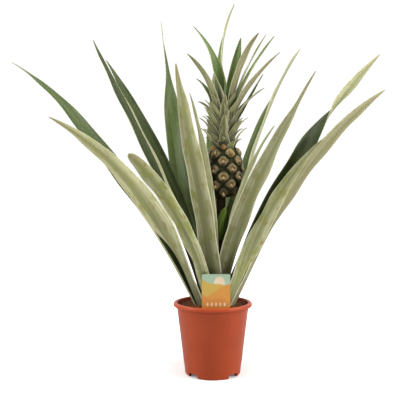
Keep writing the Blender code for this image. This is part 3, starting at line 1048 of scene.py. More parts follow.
class Marker:
    """Writes what a leaf's finishes read at each vertex: its place on the blade, its tone and its painted
    light, rim and dried tip.
    """

    layers = ("blade", "tone", "shade")

    def __init__(self, form: Form, leaf: Leaf, seed: float) -> None:
        """Finds the layers that open_form makes.

        Args:
            form: the bmesh the leaf is built in.
            leaf: the leaf.
            seed: what sets its pattern.
        """
        self.blade, self.tone, self.shade = (form.verts.layers.float_vector[name] for name in self.layers)
        self.leaf = leaf
        self.seed = seed

    def mark(self, corner: Corner, across: float, along: float, under: bool) -> None:
        """Marks one vertex at its shares of the half width and the length, on the under or the upper side.

        Args:
            corner: the vertex.
            across: its share of the half width, -1 to 1.
            along: its share of the length.
            under: whether it is on the underside.
        """
        corner[self.blade] = (across, along, along * self.leaf.length)
        corner[self.tone] = (self.seed, self.leaf.age, self.leaf.blotch)
        corner[self.shade] = self.leaf.shade(along, under)


@dataclass(frozen=True)
class BladeMesh:
    """How finely a kind of leaf is meshed and how its edges are armed."""

    law: BladeLaw
    rows: int
    columns: int
    wave: float
    wave_count: float
    spine_length: float
    spine_gap: float
    spine_from: float

    def build(self, form: Form, leaf: Leaf, axis: Vector, radius: float, seed: float) -> None:
        """Adds one leaf: two skins that part towards the midrib, joined at the edge, and its spines.

        Args:
            form: the bmesh it is added to, which has the layers that open_form makes.
            leaf: the leaf.
            axis: the point on the stem's axis at the height of the foot.
            radius: how far from the axis the foot stands.
            seed: what sets this leaf's pattern and waves.
        """
        marker = Marker(form, leaf, seed)
        ribs = [axis + outward_from(math.radians(leaf.turn)) * radius]
        for step in range(self.rows):
            ribs.append(self.follow(leaf, ribs[-1], step / self.rows, (step + 1) / self.rows))
        grid = bmesh.ops.create_grid(form, x_segments=self.columns, y_segments=self.rows, size=1.0)["verts"]
        spots = {}
        for corner in grid:
            across = corner.co.x
            row = round((corner.co.y + 1.0) / 2.0 * self.rows)
            along = row / self.rows
            point, inward, _ = self.law.section(leaf, radius, across, along)
            corner.co = ribs[row] + point + inward * self.ripple(across, along, seed)
            swell = math.sqrt(max(1.0 - across * across, 0.0)) * (1.0 - 0.5 * along)
            spots[corner] = (across, along, inward * -(self.law.thickness * (0.35 + 0.85 * swell)))
        edges = edges_at(grid)
        copy = bmesh.ops.duplicate(form, geom=grid + edges + faces_at(grid))
        for corner, (across, along, outward) in spots.items():
            twin = copy["vert_map"][corner]
            twin.co += outward
            marker.mark(corner, across, along, under=False)
            marker.mark(twin, across, along, under=True)
        under = of_kind(copy["geom"], Face)
        bmesh.ops.reverse_faces(form, faces=under)
        rims = [edge for edge in edges + of_kind(copy["geom"], Edge) if edge.is_boundary]
        paint(under + bmesh.ops.bridge_loops(form, edges=rims)["faces"], 1)
        self.arm(form, leaf, ribs, radius, seed)

    def follow(self, leaf: Leaf, start: Vector, first: float, last: float) -> Vector:
        """Returns the midrib's point at the share last, from its point at the share first."""
        ends = self.law.axes(leaf, first)[0] + self.law.axes(leaf, last)[0]
        return start + ends * (leaf.length * (last - first) / 2.0)

    def ripple(self, across: float, along: float, seed: float) -> float:
        """Returns how far the blade stands off its plain channel, from its edges' waves and broad dents.

        Args:
            across: the share of the half width, -1 to 1.
            along: the share of the length.
            seed: what sets the leaf's waves.

        Returns:
            The distance, towards the upper side.
        """
        ease = smooth_step(along / 0.25) * smooth_step((1.0 - along) / 0.15)
        side = 1.0 if across > 0.0 else -1.0
        phase = seed * 1.7 + side * 1.1
        edge = abs(across) ** 3 * math.sin(math.tau * self.wave_count * along + phase)
        dent = noise.noise(Vector((across * 0.9 + seed, along * 5.0, seed))) * 0.9
        return self.wave * ease * (edge + dent)

    def arm(self, form: Form, leaf: Leaf, ribs: Sequence[Vector], radius: float, seed: float) -> None:
        """Sets small forward-leaning spines along both edges.

        Args:
            form: the bmesh they are added to.
            leaf: the leaf.
            ribs: the midrib's points.
            radius: how far from the axis the foot stands.
            seed: what sets their spacing.
        """
        marker = Marker(form, leaf, seed)
        chance = random.Random(round(seed * 100.0))
        count = int(leaf.length / self.spine_gap)
        for place in range(1, count):
            along = place / count
            if along < self.spine_from:
                continue
            for across in (-1.0, 1.0):
                share = min(along + chance.uniform(-0.3, 0.3) / count, 0.985)
                point, inward, width = self.law.section(leaf, radius, across, share)
                row = share * self.rows
                low = int(row)
                spot = ribs[low].lerp(ribs[min(low + 1, self.rows)], row - low)
                spot += point + inward * self.ripple(across, share, seed)
                aim = (self.law.axes(leaf, share)[0] * 0.75 + width * (across * 0.65)).normalized()
                length = self.spine_length * chance.uniform(0.7, 1.2)
                turn = aim.to_track_quat("Z", "Y").to_matrix().to_4x4()
                spine = bmesh.ops.create_cone(
                    form,
                    cap_ends=True,
                    segments=4,
                    radius1=length * 0.26,
                    radius2=length * 0.03,
                    depth=length,
                    matrix=Matrix.Translation(spot + aim * length * 0.35) @ turn,
                )
                for corner in spine["verts"]:
                    marker.mark(corner, across, share, under=True)
                paint(faces_at(spine["verts"]), 1)


def open_form() -> Form:
    """Returns an empty bmesh with the layers that a leaf's finishes read.

    Returns:
        The bmesh.
    """
    form = bmesh.new()
    for name in Marker.layers:
        form.verts.layers.float_vector.new(name)
    return form


ROSETTE_LAW = BladeLaw(clasp_limit=110.0, fold=(75.0, 40.0), thickness=0.0010, taper=2.2)
CROWN_LAW = BladeLaw(clasp_limit=75.0, fold=(85.0, 50.0), thickness=0.0008, taper=1.6)
# Rows, columns, wave height and count, then the spines' length, gap and first share of the length
ROSETTE_MESH = BladeMesh(ROSETTE_LAW, 84, 12, 0.0011, 4.5, 0.0011, 0.012, 0.7)
CROWN_MESH = BladeMesh(CROWN_LAW, 36, 8, 0.0004, 3.0, 0.0012, 0.0045, 0.2)
SCALE_MESH = BladeMesh(CROWN_LAW, 12, 6, 0.0002, 2.0, 0.0009, 0.0040, 0.3)


# From the outermost leaf inwards, as the CAD solids rosette_leaf_01 to rosette_leaf_19 stand
ROSETTE = (
    Leaf(-107, 0, 0.582, 0.032, (29.5, 63.5), 1.55, -22, (-60, 0), hollow=1.6, blotch=0.3, light=1.5,
         pale=1.0, rim=0.25),
    Leaf(128, 0, 0.155, 0.028, (30, 46), 1.0, light=0.8),
    Leaf(96, 1, 0.431, 0.0425, (25, 56), 1.7, 10, (-50, -80), age=0.35, blotch=0.5, pale=0.85),
    Leaf(-174, 1, 0.340, 0.024, (34, 62), 1.2, 5),
    Leaf(-83, 2, 0.376, 0.04, (19.5, 62), 1.3, -9, (80, 60), age=0.12, blotch=0.7, pale=1.2,
         low=0.45),
    Leaf(172, 3, 0.290, 0.026, (30, 60), 1.2, -2),
    Leaf(54, 3, 0.295, 0.028, (22, 53), 1.8, -13, (-75, -30), blotch=0.9, pale=1.15, rim=1.2),
    Leaf(-125, 7, 0.576, 0.0445, (13.5, 43.5), 0.5, -25, taper=1.2, hollow=1.5, light=0.85, pale=1.0,
         low=0.5, rim=0.2, dried=0.2),
    Leaf(110, 5, 0.491, 0.045, (26.5, 45.5), 1.75, -9, (60, -90), taper=2.45, hollow=1.6, age=0.05,
         blotch=0.6, light=0.8, pale=1.05, rim=0.5),
    Leaf(-27, 5, 0.303, 0.02, (7.5, 59.5), 0.5, -6, (30, 30), round_tip=True, blotch=1.0,
         pale=1.1),
    Leaf(-148, 6, 0.502, 0.042, (26, 8.5), 0.83, 11, (-60, 55), taper=2.35, light=1.45, pale=1.0, low=0.5,
         rim=0.3, dried=0.2),
    Leaf(-14, 7, 0.425, 0.0285, (0, 66), 0.57, 10, (10, 50), taper=2.8, age=0.12, blotch=0.9, low=0.5),
    Leaf(134, 8, 0.519, 0.043, (9, 50), 1.15, 12, (-30, -60), taper=2.7, hollow=1.6, blotch=0.3,
         light=1.5, pale=0.8, rim=0.4),
    Leaf(-100, 8, 0.428, 0.045, (4.5, 32.5), 0.5, -15, (-12, -15), taper=2.8, hollow=1.8, light=1.1, pale=1.2,
         rim=0.35, dried=0.2),
    Leaf(41, 9, 0.388, 0.0365, (1, 51.5), 0.6, -20, (-5, 30), taper=2.8, age=0.1, blotch=0.8, light=0.9,
         low=0.55),
    Leaf(178, 9, 0.290, 0.024, (6, 44), 1.4, -4, light=1.3),
    Leaf(-34, 10, 0.325, 0.0275, (0.5, 26), 2.0, -6, (5, -20), age=0.1, blotch=0.5),
    Leaf(70, 10, 0.290, 0.016, (1.5, 36.5), 1.4, -1, (-20, -30), blotch=0.3, rim=0.6),
    Leaf(184, 10, 0.395, 0.0295, (4.5, 24), 1.15, -9, (10, -10), taper=2.5, light=1.8, pale=1.0, rim=0.3),
)

# The crown's long leaves, as crown_leaf_17 to crown_leaf_32 stand: layer is the row
# light is painted light and shade, set leaf by leaf
CROWN = (
    Leaf(-70, 4, 0.057, 0.0175, (5.5, 81), 1.85, 0, (0, 10), light=0.9),
    Leaf(92, 5, 0.083, 0.0225, (15.5, 58), 0.88, 0, (10, -5), taper=1.9, light=0.8),
    Leaf(11, 4, 0.037, 0.0145, (7, 44), 1.2, -7),
    Leaf(105, 4, 0.108, 0.008, (22, 33), 0.5, 13, (30, 30), taper=1.2, light=0.7),
    Leaf(-114, 5, 0.092, 0.018, (5.5, 58.5), 2.1, -5, (-10, -20), taper=1.7, light=0.8),
    Leaf(74, 6, 0.132, 0.019, (11.5, 51), 0.67, -4, (-15, -5), age=0.15),
    Leaf(-57, 6, 0.119, 0.021, (3, 59), 1.25, 1, (0, 15), taper=1.7),
    Leaf(168, 6, 0.080, 0.016, (20, 62), 1.3, light=0.8),
    Leaf(118, 7, 0.171, 0.0155, (13.5, 41), 0.65, 1, (-5, 15), taper=1.7, blotch=0.2),
    Leaf(-65, 7, 0.154, 0.0355, (-6, 44), 1.45, -21, (-60, -30), taper=1.35, hollow=1.4, blotch=0.2,
         light=1.1),
    Leaf(99, 8, 0.146, 0.0165, (10, 32), 0.65, 1, (-5, 15), age=0.1),
    Leaf(180, 8, 0.070, 0.01, (14, 45), 1.3, light=0.8),
    Leaf(60, 9, 0.130, 0.0175, (13.5, 46.5), 2.4, -4, (-5, -35), taper=2.7, age=0.15, blotch=0.4),
    Leaf(188, 9, 0.216, 0.0225, (16, 26.5), 0.81, -61, (-60, -60), taper=2.25, hollow=1.4),
    Leaf(105, 10, 0.119, 0.0225, (10.5, 9.5), 1.15, 13, (40, 30), taper=2.8, hollow=1.4),
    Leaf(-165, 10, 0.018, 0.008, (0, 20), 1.6, light=0.8),
)


@dataclass
class Finishes:
    """Every material of the plant, built once from the shared groups."""

    def __post_init__(self) -> None:
        """Builds the groups, then the materials."""
        pattern = blade_pattern()
        grain = mineral_grain()
        self.rosette = [finish.make(pattern) for finish in (ROSETTE_UPPER, ROSETTE_UNDER)]
        self.crown = [finish.make(pattern) for finish in (CROWN_UPPER, CROWN_UNDER)]
        self.stalk_leaf = [self.crown[0], STALK_UNDER.make(pattern)]
        self.pot = POT_PLASTIC.make(grain)
        self.peat = PEAT.make(grain)
        self.stalk = STALK_BARK.make(grain)
        self.fruit = [GROOVE_SKIN.make(grain), EyeFinish().make(grain), BractFinish().make(grain)]
        self.grain = grain


@dataclass
class Rosette:
    """The long leaves that rise from the soil."""

    shop: Workshop
    finishes: Finishes
    foot_radius: float = 0.029
    foot_step: float = 0.0016
    foot_lift: float = 0.005
    first_seed: float = 3.0
    seed_step: float = 1.37

    def build(self) -> None:
        """Makes each leaf in place of its CAD solid."""
        low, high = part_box("stem")
        axis = Vector((low.x + (high.y - low.y) / 2.0, 0.0, low.z + self.foot_lift))
        for index, leaf in enumerate(ROSETTE):
            name = f"rosette_leaf_{index + 1:02d}"
            form = open_form()
            radius = self.foot_radius - self.foot_step * leaf.layer
            ROSETTE_MESH.build(form, leaf, axis, radius, self.first_seed + self.seed_step * index)
            self.shop.piece("long_" + name, form, self.finishes.rosette, "rosette_leaf", [name])


@dataclass
class Crown:
    """The tuft on the fruit: a column of short pressed leaves and the long ones above."""

    shop: Workshop
    finishes: Finishes
    row_radius: float = 0.018
    row_step: float = 0.001
    row_base_lift: float = 0.0007
    row_rise: float = 0.005
    short_rows: int = 4
    short_per_row: int = 4
    short_length: float = 0.034
    short_length_step: float = 0.0033
    short_width: float = 0.016
    short_lean: Pair = (12.0, 61.0)
    first_seed: float = 41.0
    seed_step: float = 1.91
    column_rows: tuple[int, int] = (-2, 9)
    column_length: Pair = (0.017, 0.040)
    column_width: float = 0.0145
    column_droop: Pair = (78.0, 46.0)
    column_seed: float = 90.0
    chance_seed: int = 12

    def row(self, row: float) -> tuple[Vector, float]:
        """Returns the axis point and radius of a row of leaves.

        Args:
            row: the row, which may lie between two.

        Returns:
            The point on the axis and the radius on which the leaves' feet stand.
        """
        low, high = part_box("crown_core")
        axis = Vector((middle_x(low, high), 0.0, low.z + self.row_base_lift + self.row_rise * row))
        return axis, self.row_radius - self.row_step * row

    def short_leaf(self, row: int, place: float) -> Leaf:
        """Returns a short leaf of a row, at a place in quarters of a turn.

        Args:
            row: the row.
            place: the place in quarters of a turn.

        Returns:
            The leaf.
        """
        turn = place * 360.0 / self.short_per_row
        length = self.short_length + self.short_length_step * row
        # shine is painted light: each short leaf is made lighter or darker by its turn and row
        shine = 0.95 + 0.3 * math.sin(2.4 * turn + 1.9 * row)
        return Leaf(turn, row, length, self.short_width, self.short_lean, bend=1.3, blotch=0.7, light=shine)

    def build(self) -> None:
        """Makes the leaves in place of their CAD solids, and the column in place of the core."""
        leaves = []
        for row in range(self.short_rows):
            for place in range(self.short_per_row):
                leaves.append((self.short_leaf(row, place + row / 2.0), SCALE_MESH))
        leaves += [(leaf, CROWN_MESH) for leaf in CROWN]
        for index, (leaf, mesh) in enumerate(leaves):
            name = f"crown_leaf_{index + 1:02d}"
            axis, radius = self.row(leaf.layer)
            form = open_form()
            mesh.build(form, leaf, axis, radius, self.first_seed + self.seed_step * index)
            self.shop.piece("tuft_" + name, form, self.finishes.crown, "crown_leaf", [name])
        self.build_column()

    def build_column(self) -> None:
        """Packs small pressed leaves round the crown's core."""
        low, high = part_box("crown_core")
        centre = Vector((middle_x(low, high), 0.0, 0.0))
        width = (high.x - low.x) / 2.0
        form = open_form()
        profile = (
            (0.0, high.z),
            (width * 0.32, high.z - 0.001),
            (width * 0.62, (low.z + high.z) / 2.0 + 0.01),
            (width * 0.97, low.z + 0.004),
            (width * 0.90, low.z),
            (0.0, low.z),
        )
        turned(form, profile, centre, 32)
        chance = random.Random(self.chance_seed)
        for row in range(*self.column_rows):
            rise = row - self.column_rows[0]
            for place in range(self.short_per_row):
                turn = (place + 0.5 + row / 2.0) * 360.0 / self.short_per_row + chance.uniform(-9.0, 9.0)
                length = between(*self.column_length, smooth_step(rise / 8.0)) * chance.uniform(0.9, 1.1)
                lean = (chance.uniform(9.0, 15.0), between(*self.column_droop, rise / 10.0))
                # Each packed leaf gets a random level of painted light and shade
                leaf = Leaf(turn, 0, length, self.column_width, lean, bend=1.3, taper=1.5, blotch=0.7,
                            light=chance.uniform(0.5, 1.2))
                axis, radius = self.row(max(row, 0) + 0.5)
                axis.z += self.row_rise * min(row, 0)
                seed = self.column_seed + row * 4.3 + place
                SCALE_MESH.build(form, leaf, axis, radius - 0.0006, seed)
        self.shop.piece("crown_column", form, self.finishes.crown, "crown_leaf", ["crown_core"])


@dataclass(frozen=True)
class EyeSpot:
    """Where one eye sits: turn in radians, height and its share, the body's radius, size and shade."""

    turn: float
    height: float
    share: float
    around: float
    size: float
    seed: float


@dataclass
class Fruit:
    """The young fruit: a grooved body set with eyes, each under its own papery bract."""

    shop: Workshop
    finishes: Finishes
    eye_turn: float = 55.4
    eye_rise: float = 0.00176
    first_turn: float = -172.0
    first_rise: float = 0.0022
    half_width: float = 0.0098
    half_height: float = 0.0088
    corner: float = 1.55
    eye_sink: float = 0.0028
    eye_sides: int = 20
    bract_length: Pair = (0.0085, 0.0125)
    bract_half_width: float = 0.0034
    bract_thickness: float = 0.0003
    chance_seed: int = 4
    outline: tuple[Pair, ...] = (
        (0.0, 1.0), (0.53, 0.992), (0.72, 0.925), (0.88, 0.81), (0.98, 0.66), (1.0, 0.52),
        (0.96, 0.34), (0.86, 0.17), (0.66, 0.05), (0.40, 0.0), (0.0, 0.0),
    )

    def __post_init__(self) -> None:
        """Reads the fruit's place and size from its CAD solid."""
        low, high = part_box("fruit")
        self.centre = Vector((middle_x(low, high), (low.y + high.y) / 2.0, low.z))
        self.radius = (high.x - low.x) / 2.0
        self.height = high.z - low.z

    def body_radius(self, height: float) -> float:
        """Returns the body's radius at a height above its foot.

        Args:
            height: the height.

        Returns:
            The radius.
        """
        share = min(max(height / self.height, 0.0), 1.0)
        points = list(reversed(self.outline))
        for (inner, lower), (outer, upper) in zip(points, points[1:]):
            if lower <= share <= upper and upper > lower:
                return self.radius * between(inner, outer, (share - lower) / (upper - lower))
        return self.radius * 0.5

    def on_body(self, turn: float, height: float, lift: float) -> Vector:
        """Returns a point above the body's surface: turn in radians, height and lift in metres.

        Args:
            turn: the turn about the axis.
            height: the height above the fruit's foot.
            lift: how far it stands off the surface.

        Returns:
            The point.
        """
        step = 0.003
        slope = (self.body_radius(height + step) - self.body_radius(height - step)) / (2.0 * step)
        out = outward_from(turn)
        normal = (out - Vector((0.0, 0.0, 1.0)) * max(min(slope, 1.6), -1.6)).normalized()
        reach = self.body_radius(height) - self.eye_sink
        return self.centre + Vector((0.0, 0.0, height)) + out * reach + normal * lift

    def build(self) -> None:
        """Makes the body, its eyes and their bracts as one piece."""
        form = bmesh.new()
        eye = form.verts.layers.float_vector.new("eye")
        groove = 0.0026
        profile = [(max(out * self.radius - groove, 0.0), rise * self.height) for out, rise in self.outline]
        turned(form, profile, self.centre, 48)
        chance = random.Random(self.chance_seed)
        count = int((self.height - self.first_rise) / self.eye_rise)
        for index in range(count):
            height = self.first_rise + index * self.eye_rise
            turn = math.radians(self.first_turn + index * self.eye_turn + chance.uniform(-2.0, 2.0))
            share = height / self.height
            around = max(self.body_radius(height), self.radius * 0.45)
            size = between(0.72, 1.0, smooth_step(min(share / 0.3, (1.08 - share) / 0.3)))
            spot = EyeSpot(turn, height, share, around, size, chance.random())
            self.eye(form, eye, spot)
            self.bract(form, eye, spot)
        self.shop.piece("pineapple", form, self.finishes.fruit, "fruit_skin", ["fruit"])

    def eye(self, form: Form, layer: object, spot: EyeSpot) -> None:
        """Adds one eye: rings that rise from the groove to its flat middle.

        Args:
            form: the bmesh it is added to.
            layer: the layer that holds radius, height and seed for the finishes.
            spot: where it sits.
        """
        levels = (
            (1.0, 0.0), (0.93, 0.0019), (0.78, 0.0033), (0.58, 0.0039), (0.36, 0.0036), (0.18, 0.0028),
        )
        sides = self.eye_sides
        loop = bmesh.ops.create_circle(form, cap_ends=True, segments=sides, radius=1.0)["verts"]
        top = loop[0].link_faces[0]
        rings = [loop]
        for _ in levels[1:]:
            grown = bmesh.ops.extrude_face_region(form, geom=[top])["geom"]
            bmesh.ops.delete(form, geom=[top], context="FACES_ONLY")
            top = of_kind(grown, Face)[0]
            rings.append(of_kind(grown, Corner))
        middle = bmesh.ops.poke(form, faces=[top])["verts"]
        placed = [(ring, *level) for ring, level in zip(rings, levels)] + [(middle, 0.0, 0.0024)]
        for ring, reach, lift in placed:
            for corner in ring:
                angle = math.atan2(corner.co.y, corner.co.x)
                wide, tall = math.cos(angle), math.sin(angle)
                round_off = (abs(wide) ** self.corner + abs(tall) ** self.corner) ** (-1.0 / self.corner)
                reach_there = round_off * reach
                side = reach_there * wide * self.half_width * spot.size
                rise = spot.height + reach_there * tall * self.half_height * spot.size
                rise = min(max(rise, 0.0005), self.height - 0.0003)
                corner.co = self.on_body(spot.turn + side / spot.around, rise, lift * spot.size)
                corner[layer] = (reach, spot.share, spot.seed)
        faces = faces_at(corner for ring in rings for corner in ring)
        paint(faces, EyePart.FLESH.value)
        bmesh.ops.recalc_face_normals(form, faces=faces)

    def bract(self, form: Form, layer: object, spot: EyeSpot) -> None:
        """Adds the papery scale that rises over the lower half of an eye and ends in a curled point.

        Args:
            form: the bmesh it is added to.
            layer: the layer that holds radius, height and seed for the finishes.
            spot: where the eye sits.
        """
        size, share = spot.size, spot.share
        length = between(*self.bract_length, smooth_step((share - 0.6) / 0.35)) * size
        grid = bmesh.ops.create_grid(form, x_segments=4, y_segments=6, size=1.0)["verts"]
        for corner in grid:
            across, along = corner.co.x, (corner.co.y + 1.0) / 2.0
            side = across * (self.bract_half_width * size * (1.0 - along**1.8) + self.bract_thickness)
            rise = spot.height - self.half_height * 0.80 * size + length * along
            rise = min(max(rise, 0.0002), self.height + 0.004)
            lift = 0.0024 + 0.0034 * math.sin(math.pi * min(along * 1.1, 1.0)) * size
            lift += between(0.0005, 0.0042, smooth_step((share - 0.72) / 0.22)) * along**2
            lift -= 0.0016 * across * across
            corner.co = self.on_body(spot.turn + side / spot.around, min(rise, self.height - 0.0002), lift)
            corner.co.z += max(rise - self.height + 0.0002, 0.0)
            corner[layer] = (along, share, spot.seed)
        faces = faces_at(grid)
        paint(faces, EyePart.BRACT.value)
        bmesh.ops.solidify(form, geom=faces, thickness=self.bract_thickness)


@dataclass
class Stalk:
    """The stem: a basal plate in the soil, a short core and the leaning fruit stalk with small leaves."""

    shop: Workshop
    finishes: Finishes
    fruit_bottom: float
    top_x: float = 0.0130
    plate_radius: float = 0.0305
    core_radius: float = 0.0105
    core_top: float = 0.135
    thin: float = 0.0062
    thick: float = 0.0068
    core_step: float = 0.0012
    knot_gap: float = 0.014
    knot_height: float = 0.0005
    sides: int = 24
    rows: int = 44

    def __post_init__(self) -> None:
        """Reads the stem's foot from its CAD solid."""
        low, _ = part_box("stem")
        self.bottom = low.z
        self.plant_x = low.x + self.plate_radius

    def share(self, height: float) -> float:
        """Returns how far up the fruit stalk a height lies, from 0 at the core's top to 1 at the fruit."""
        return (height - self.core_top) / (self.fruit_bottom - self.core_top)

    def centre(self, height: float) -> float:
        """Returns the x of the stalk's centre line at a height."""
        return self.plant_x + (self.top_x - self.plant_x) * smooth_step(self.share(height))

    def radius(self, height: float) -> float:
        """Returns the stalk's radius at a height, with the swellings where bracts were.

        Args:
            height: the height in the frame.

        Returns:
            The radius.
        """
        if height < self.core_top:
            rise = (height - self.bottom) / (self.core_top - self.bottom)
            return between(self.core_radius, self.thin + self.core_step, rise)
        knot = max(math.sin(height / self.knot_gap * math.pi), 0.0) ** 6
        return between(self.thin, self.thick, self.share(height)) + self.knot_height * knot

    def build(self) -> None:
        """Makes the stem and its small leaves."""
        form = bmesh.new()
        rim = ((0.001, 0.0042), (0.0, 0.0036), (0.0, 0.001), (0.001, 0.0))
        plate = [(self.plate_radius - inset, self.bottom + rise) for inset, rise in rim]
        plate = [(0.0, self.bottom + 0.0045), *plate, (0.0, self.bottom)]
        turned(form, plate, Vector((self.plant_x, 0.0, 0.0)), 40)
        rings = []
        start = self.bottom + 0.002
        for row in range(self.rows + 1):
            height = between(start, self.fruit_bottom + 0.002, row / self.rows)
            ring = bmesh.ops.create_circle(form, segments=self.sides, radius=self.radius(height))["verts"]
            for corner in ring:
                rough = noise.noise(Vector((corner.co.x * 160.0, corner.co.y * 160.0, height * 70.0)))
                corner.co.xy *= 1.0 + 0.06 * rough
                corner.co += Vector((self.centre(height), 0.0, height))
            rings.append(ring)
        bridge(form, rings, self.sides)
        bmesh.ops.recalc_face_normals(form, faces=form.faces)
        self.shop.piece("fruit_stalk", form, [self.finishes.stalk], "stem", ["stem"])
        leaves = (
            (Leaf(30, 0, 0.051, 0.0165, (4, 24), 1.2, taper=5.0), 0.2025, "stalk_leaf_1"),
            (Leaf(66, 1, 0.036, 0.0095, (8, 22), 1.2), 0.226, "stalk_leaf_2"),
        )
        for index, (leaf, height, name) in enumerate(leaves):
            form = open_form()
            axis = Vector((self.centre(height), 0.0, height))
            SCALE_MESH.build(form, leaf, axis, self.thin + 0.0020, 140.0 + index)
            self.shop.piece("small_" + name, form, self.finishes.stalk_leaf, "stalk_leaf", [name])


@dataclass
class Pot:
    """A turned plastic pot with a rolled lip, a raised floor and a foot ring cut into four feet."""

    shop: Workshop
    finishes: Finishes
    lip_height: float = 0.0058
    band_height: float = 0.0045
    band_step: float = 0.0005
    wall_top: float = 0.0548
    wall_base: float = 0.0421
    wall: float = 0.0013
    floor: float = 0.0016
    floor_rise: float = 0.003
    pad_radius: float = 0.011
    foot_width: float = 0.0040
    notch_height: float = 0.006
    notch_width: float = 0.0175
    notch_depth: float = 0.016
    notch_count: int = 4
    first_notch: float = 45.0
    ledge_height: float = 0.0165
    sides: int = 144

    def __post_init__(self) -> None:
        """Reads the rim's size from the CAD pot."""
        low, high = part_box("pot")
        self.height = high.z
        self.rim = (high.x - low.x) / 2.0

    def wall_radius(self, height: float) -> float:
        """Returns the outer radius of the tapered wall at a height."""
        return between(self.wall_base, self.wall_top, height / (self.height - self.lip_height))

    def arc(self, centre: Pair, radius: float, start: float, end: float, steps: int) -> list[Pair]:
        """Returns profile points on a round of the lip, from start to end in degrees."""
        angles = [math.radians(between(start, end, step / steps)) for step in range(steps + 1)]
        return [(centre[0] + radius * math.cos(a), centre[1] + radius * math.sin(a)) for a in angles]

    def profile(self) -> list[Pair]:
        """Returns the pot's section, from the middle of the floor over the lip to the middle of the foot.

        Returns:
            The points, as radius and height.
        """
        lip_bottom = self.height - self.lip_height
        band_bottom = lip_bottom - self.band_height
        floor_top = self.floor_rise + self.floor
        foot_inner = self.wall_base - self.foot_width
        inner_top = self.wall_top - self.wall
        inside = [
            (0.0, self.floor),
            (self.pad_radius, self.floor),
            (self.pad_radius + self.floor_rise, floor_top),
            (self.wall_radius(floor_top) - self.wall - 0.001, floor_top),
            (self.wall_radius(floor_top + 0.001) - self.wall, floor_top + 0.001),
            (inner_top, lip_bottom),
        ]
        lip = self.arc((inner_top + 0.0022, self.height - 0.0018), 0.0018, 180, 90, 6)
        lip += self.arc((self.rim - 0.0026, self.height - 0.0026), 0.0026, 90, 0, 9)
        lip += self.arc((self.rim - 0.0013, lip_bottom + 0.0013), 0.0013, 0, -80, 6)
        outside = [
            (self.wall_top + self.band_step + 0.0006, lip_bottom - 0.0001),
            (self.wall_top + self.band_step, lip_bottom - 0.0005),
            (self.wall_radius(band_bottom + 0.0004) + self.band_step, band_bottom + 0.0004),
            (self.wall_radius(band_bottom) + self.band_step * 0.7, band_bottom),
            (self.wall_radius(band_bottom - 0.0005), band_bottom - 0.0005),
            (self.wall_radius(self.ledge_height + 0.0006), self.ledge_height + 0.0006),
            (self.wall_radius(self.ledge_height) - 0.0003, self.ledge_height),
            (self.wall_radius(0.0016) - 0.0002, 0.0016),
            (self.wall_base - 0.0002, 0.0008),
            (self.wall_base - 0.0009, 0.0),
            (foot_inner, 0.0),
            (foot_inner - 0.0006, self.floor_rise),
            (self.pad_radius + self.floor_rise + 0.0006, self.floor_rise),
            (self.pad_radius + 0.0006, 0.0),
            (0.0, 0.0),
        ]
        return inside + lip + outside

    def build(self) -> None:
        """Makes the pot."""
        form = bmesh.new()
        turned(form, self.profile(), Vector((0.0, 0.0, 0.0)), self.sides)
        made = self.shop.piece("nursery_pot", form, [self.finishes.pot], "terracotta_plastic", ["pot"])
        self.cut_notches(made)

    def cut_notches(self, pot: bpy.types.Object) -> None:
        """Cuts the drain notches between the feet, with rounded upper corners, and keeps the cut mesh.

        Args:
            pot: the pot's piece, whose mesh is replaced.
        """
        cutter = bmesh.new()
        for index in range(self.notch_count):
            turn = math.radians(self.first_notch + 360.0 / self.notch_count * index)
            cube = bmesh.ops.create_cube(cutter, size=1.0)["verts"]
            size = (self.notch_depth, self.notch_width, self.notch_height * 2.0)
            bmesh.ops.scale(cutter, vec=size, verts=cube)
            upper = [edge for edge in edges_at(cube) if min(corner.co.z for corner in edge.verts) > 0.0]
            long_edges = [edge for edge in upper if abs(edge.verts[0].co.x - edge.verts[1].co.x) > 0.01]
            rounded = bmesh.ops.bevel(
                cutter, geom=long_edges, offset=0.0018, segments=4, profile=0.5, affect="EDGES", material=-1
            )
            corners = list({c for c in cube if c.is_valid} | set(rounded["verts"]))
            spot = Vector((self.wall_base * math.cos(turn), self.wall_base * math.sin(turn), 0.0))
            about = Matrix.Rotation(turn, 3, "Z")
            bmesh.ops.rotate(cutter, cent=(0.0, 0.0, 0.0), matrix=about, verts=corners)
            bmesh.ops.translate(cutter, vec=spot, verts=corners)
        tool = put("notch_cutter", mesh_of("notch_cutter", cutter))
        boolean = pot.modifiers.new("Notches", "BOOLEAN")
        boolean.operation = "DIFFERENCE"
        boolean.solver = "EXACT"
        boolean.object = tool
        cut = bpy.data.meshes.new_from_object(pot.evaluated_get(bpy.context.evaluated_depsgraph_get()))
        pot.modifiers.clear()
        bpy.data.objects.remove(tool)
        pot.data = cut
        cut.set_sharp_from_angle(angle=math.radians(self.shop.sharp_from))


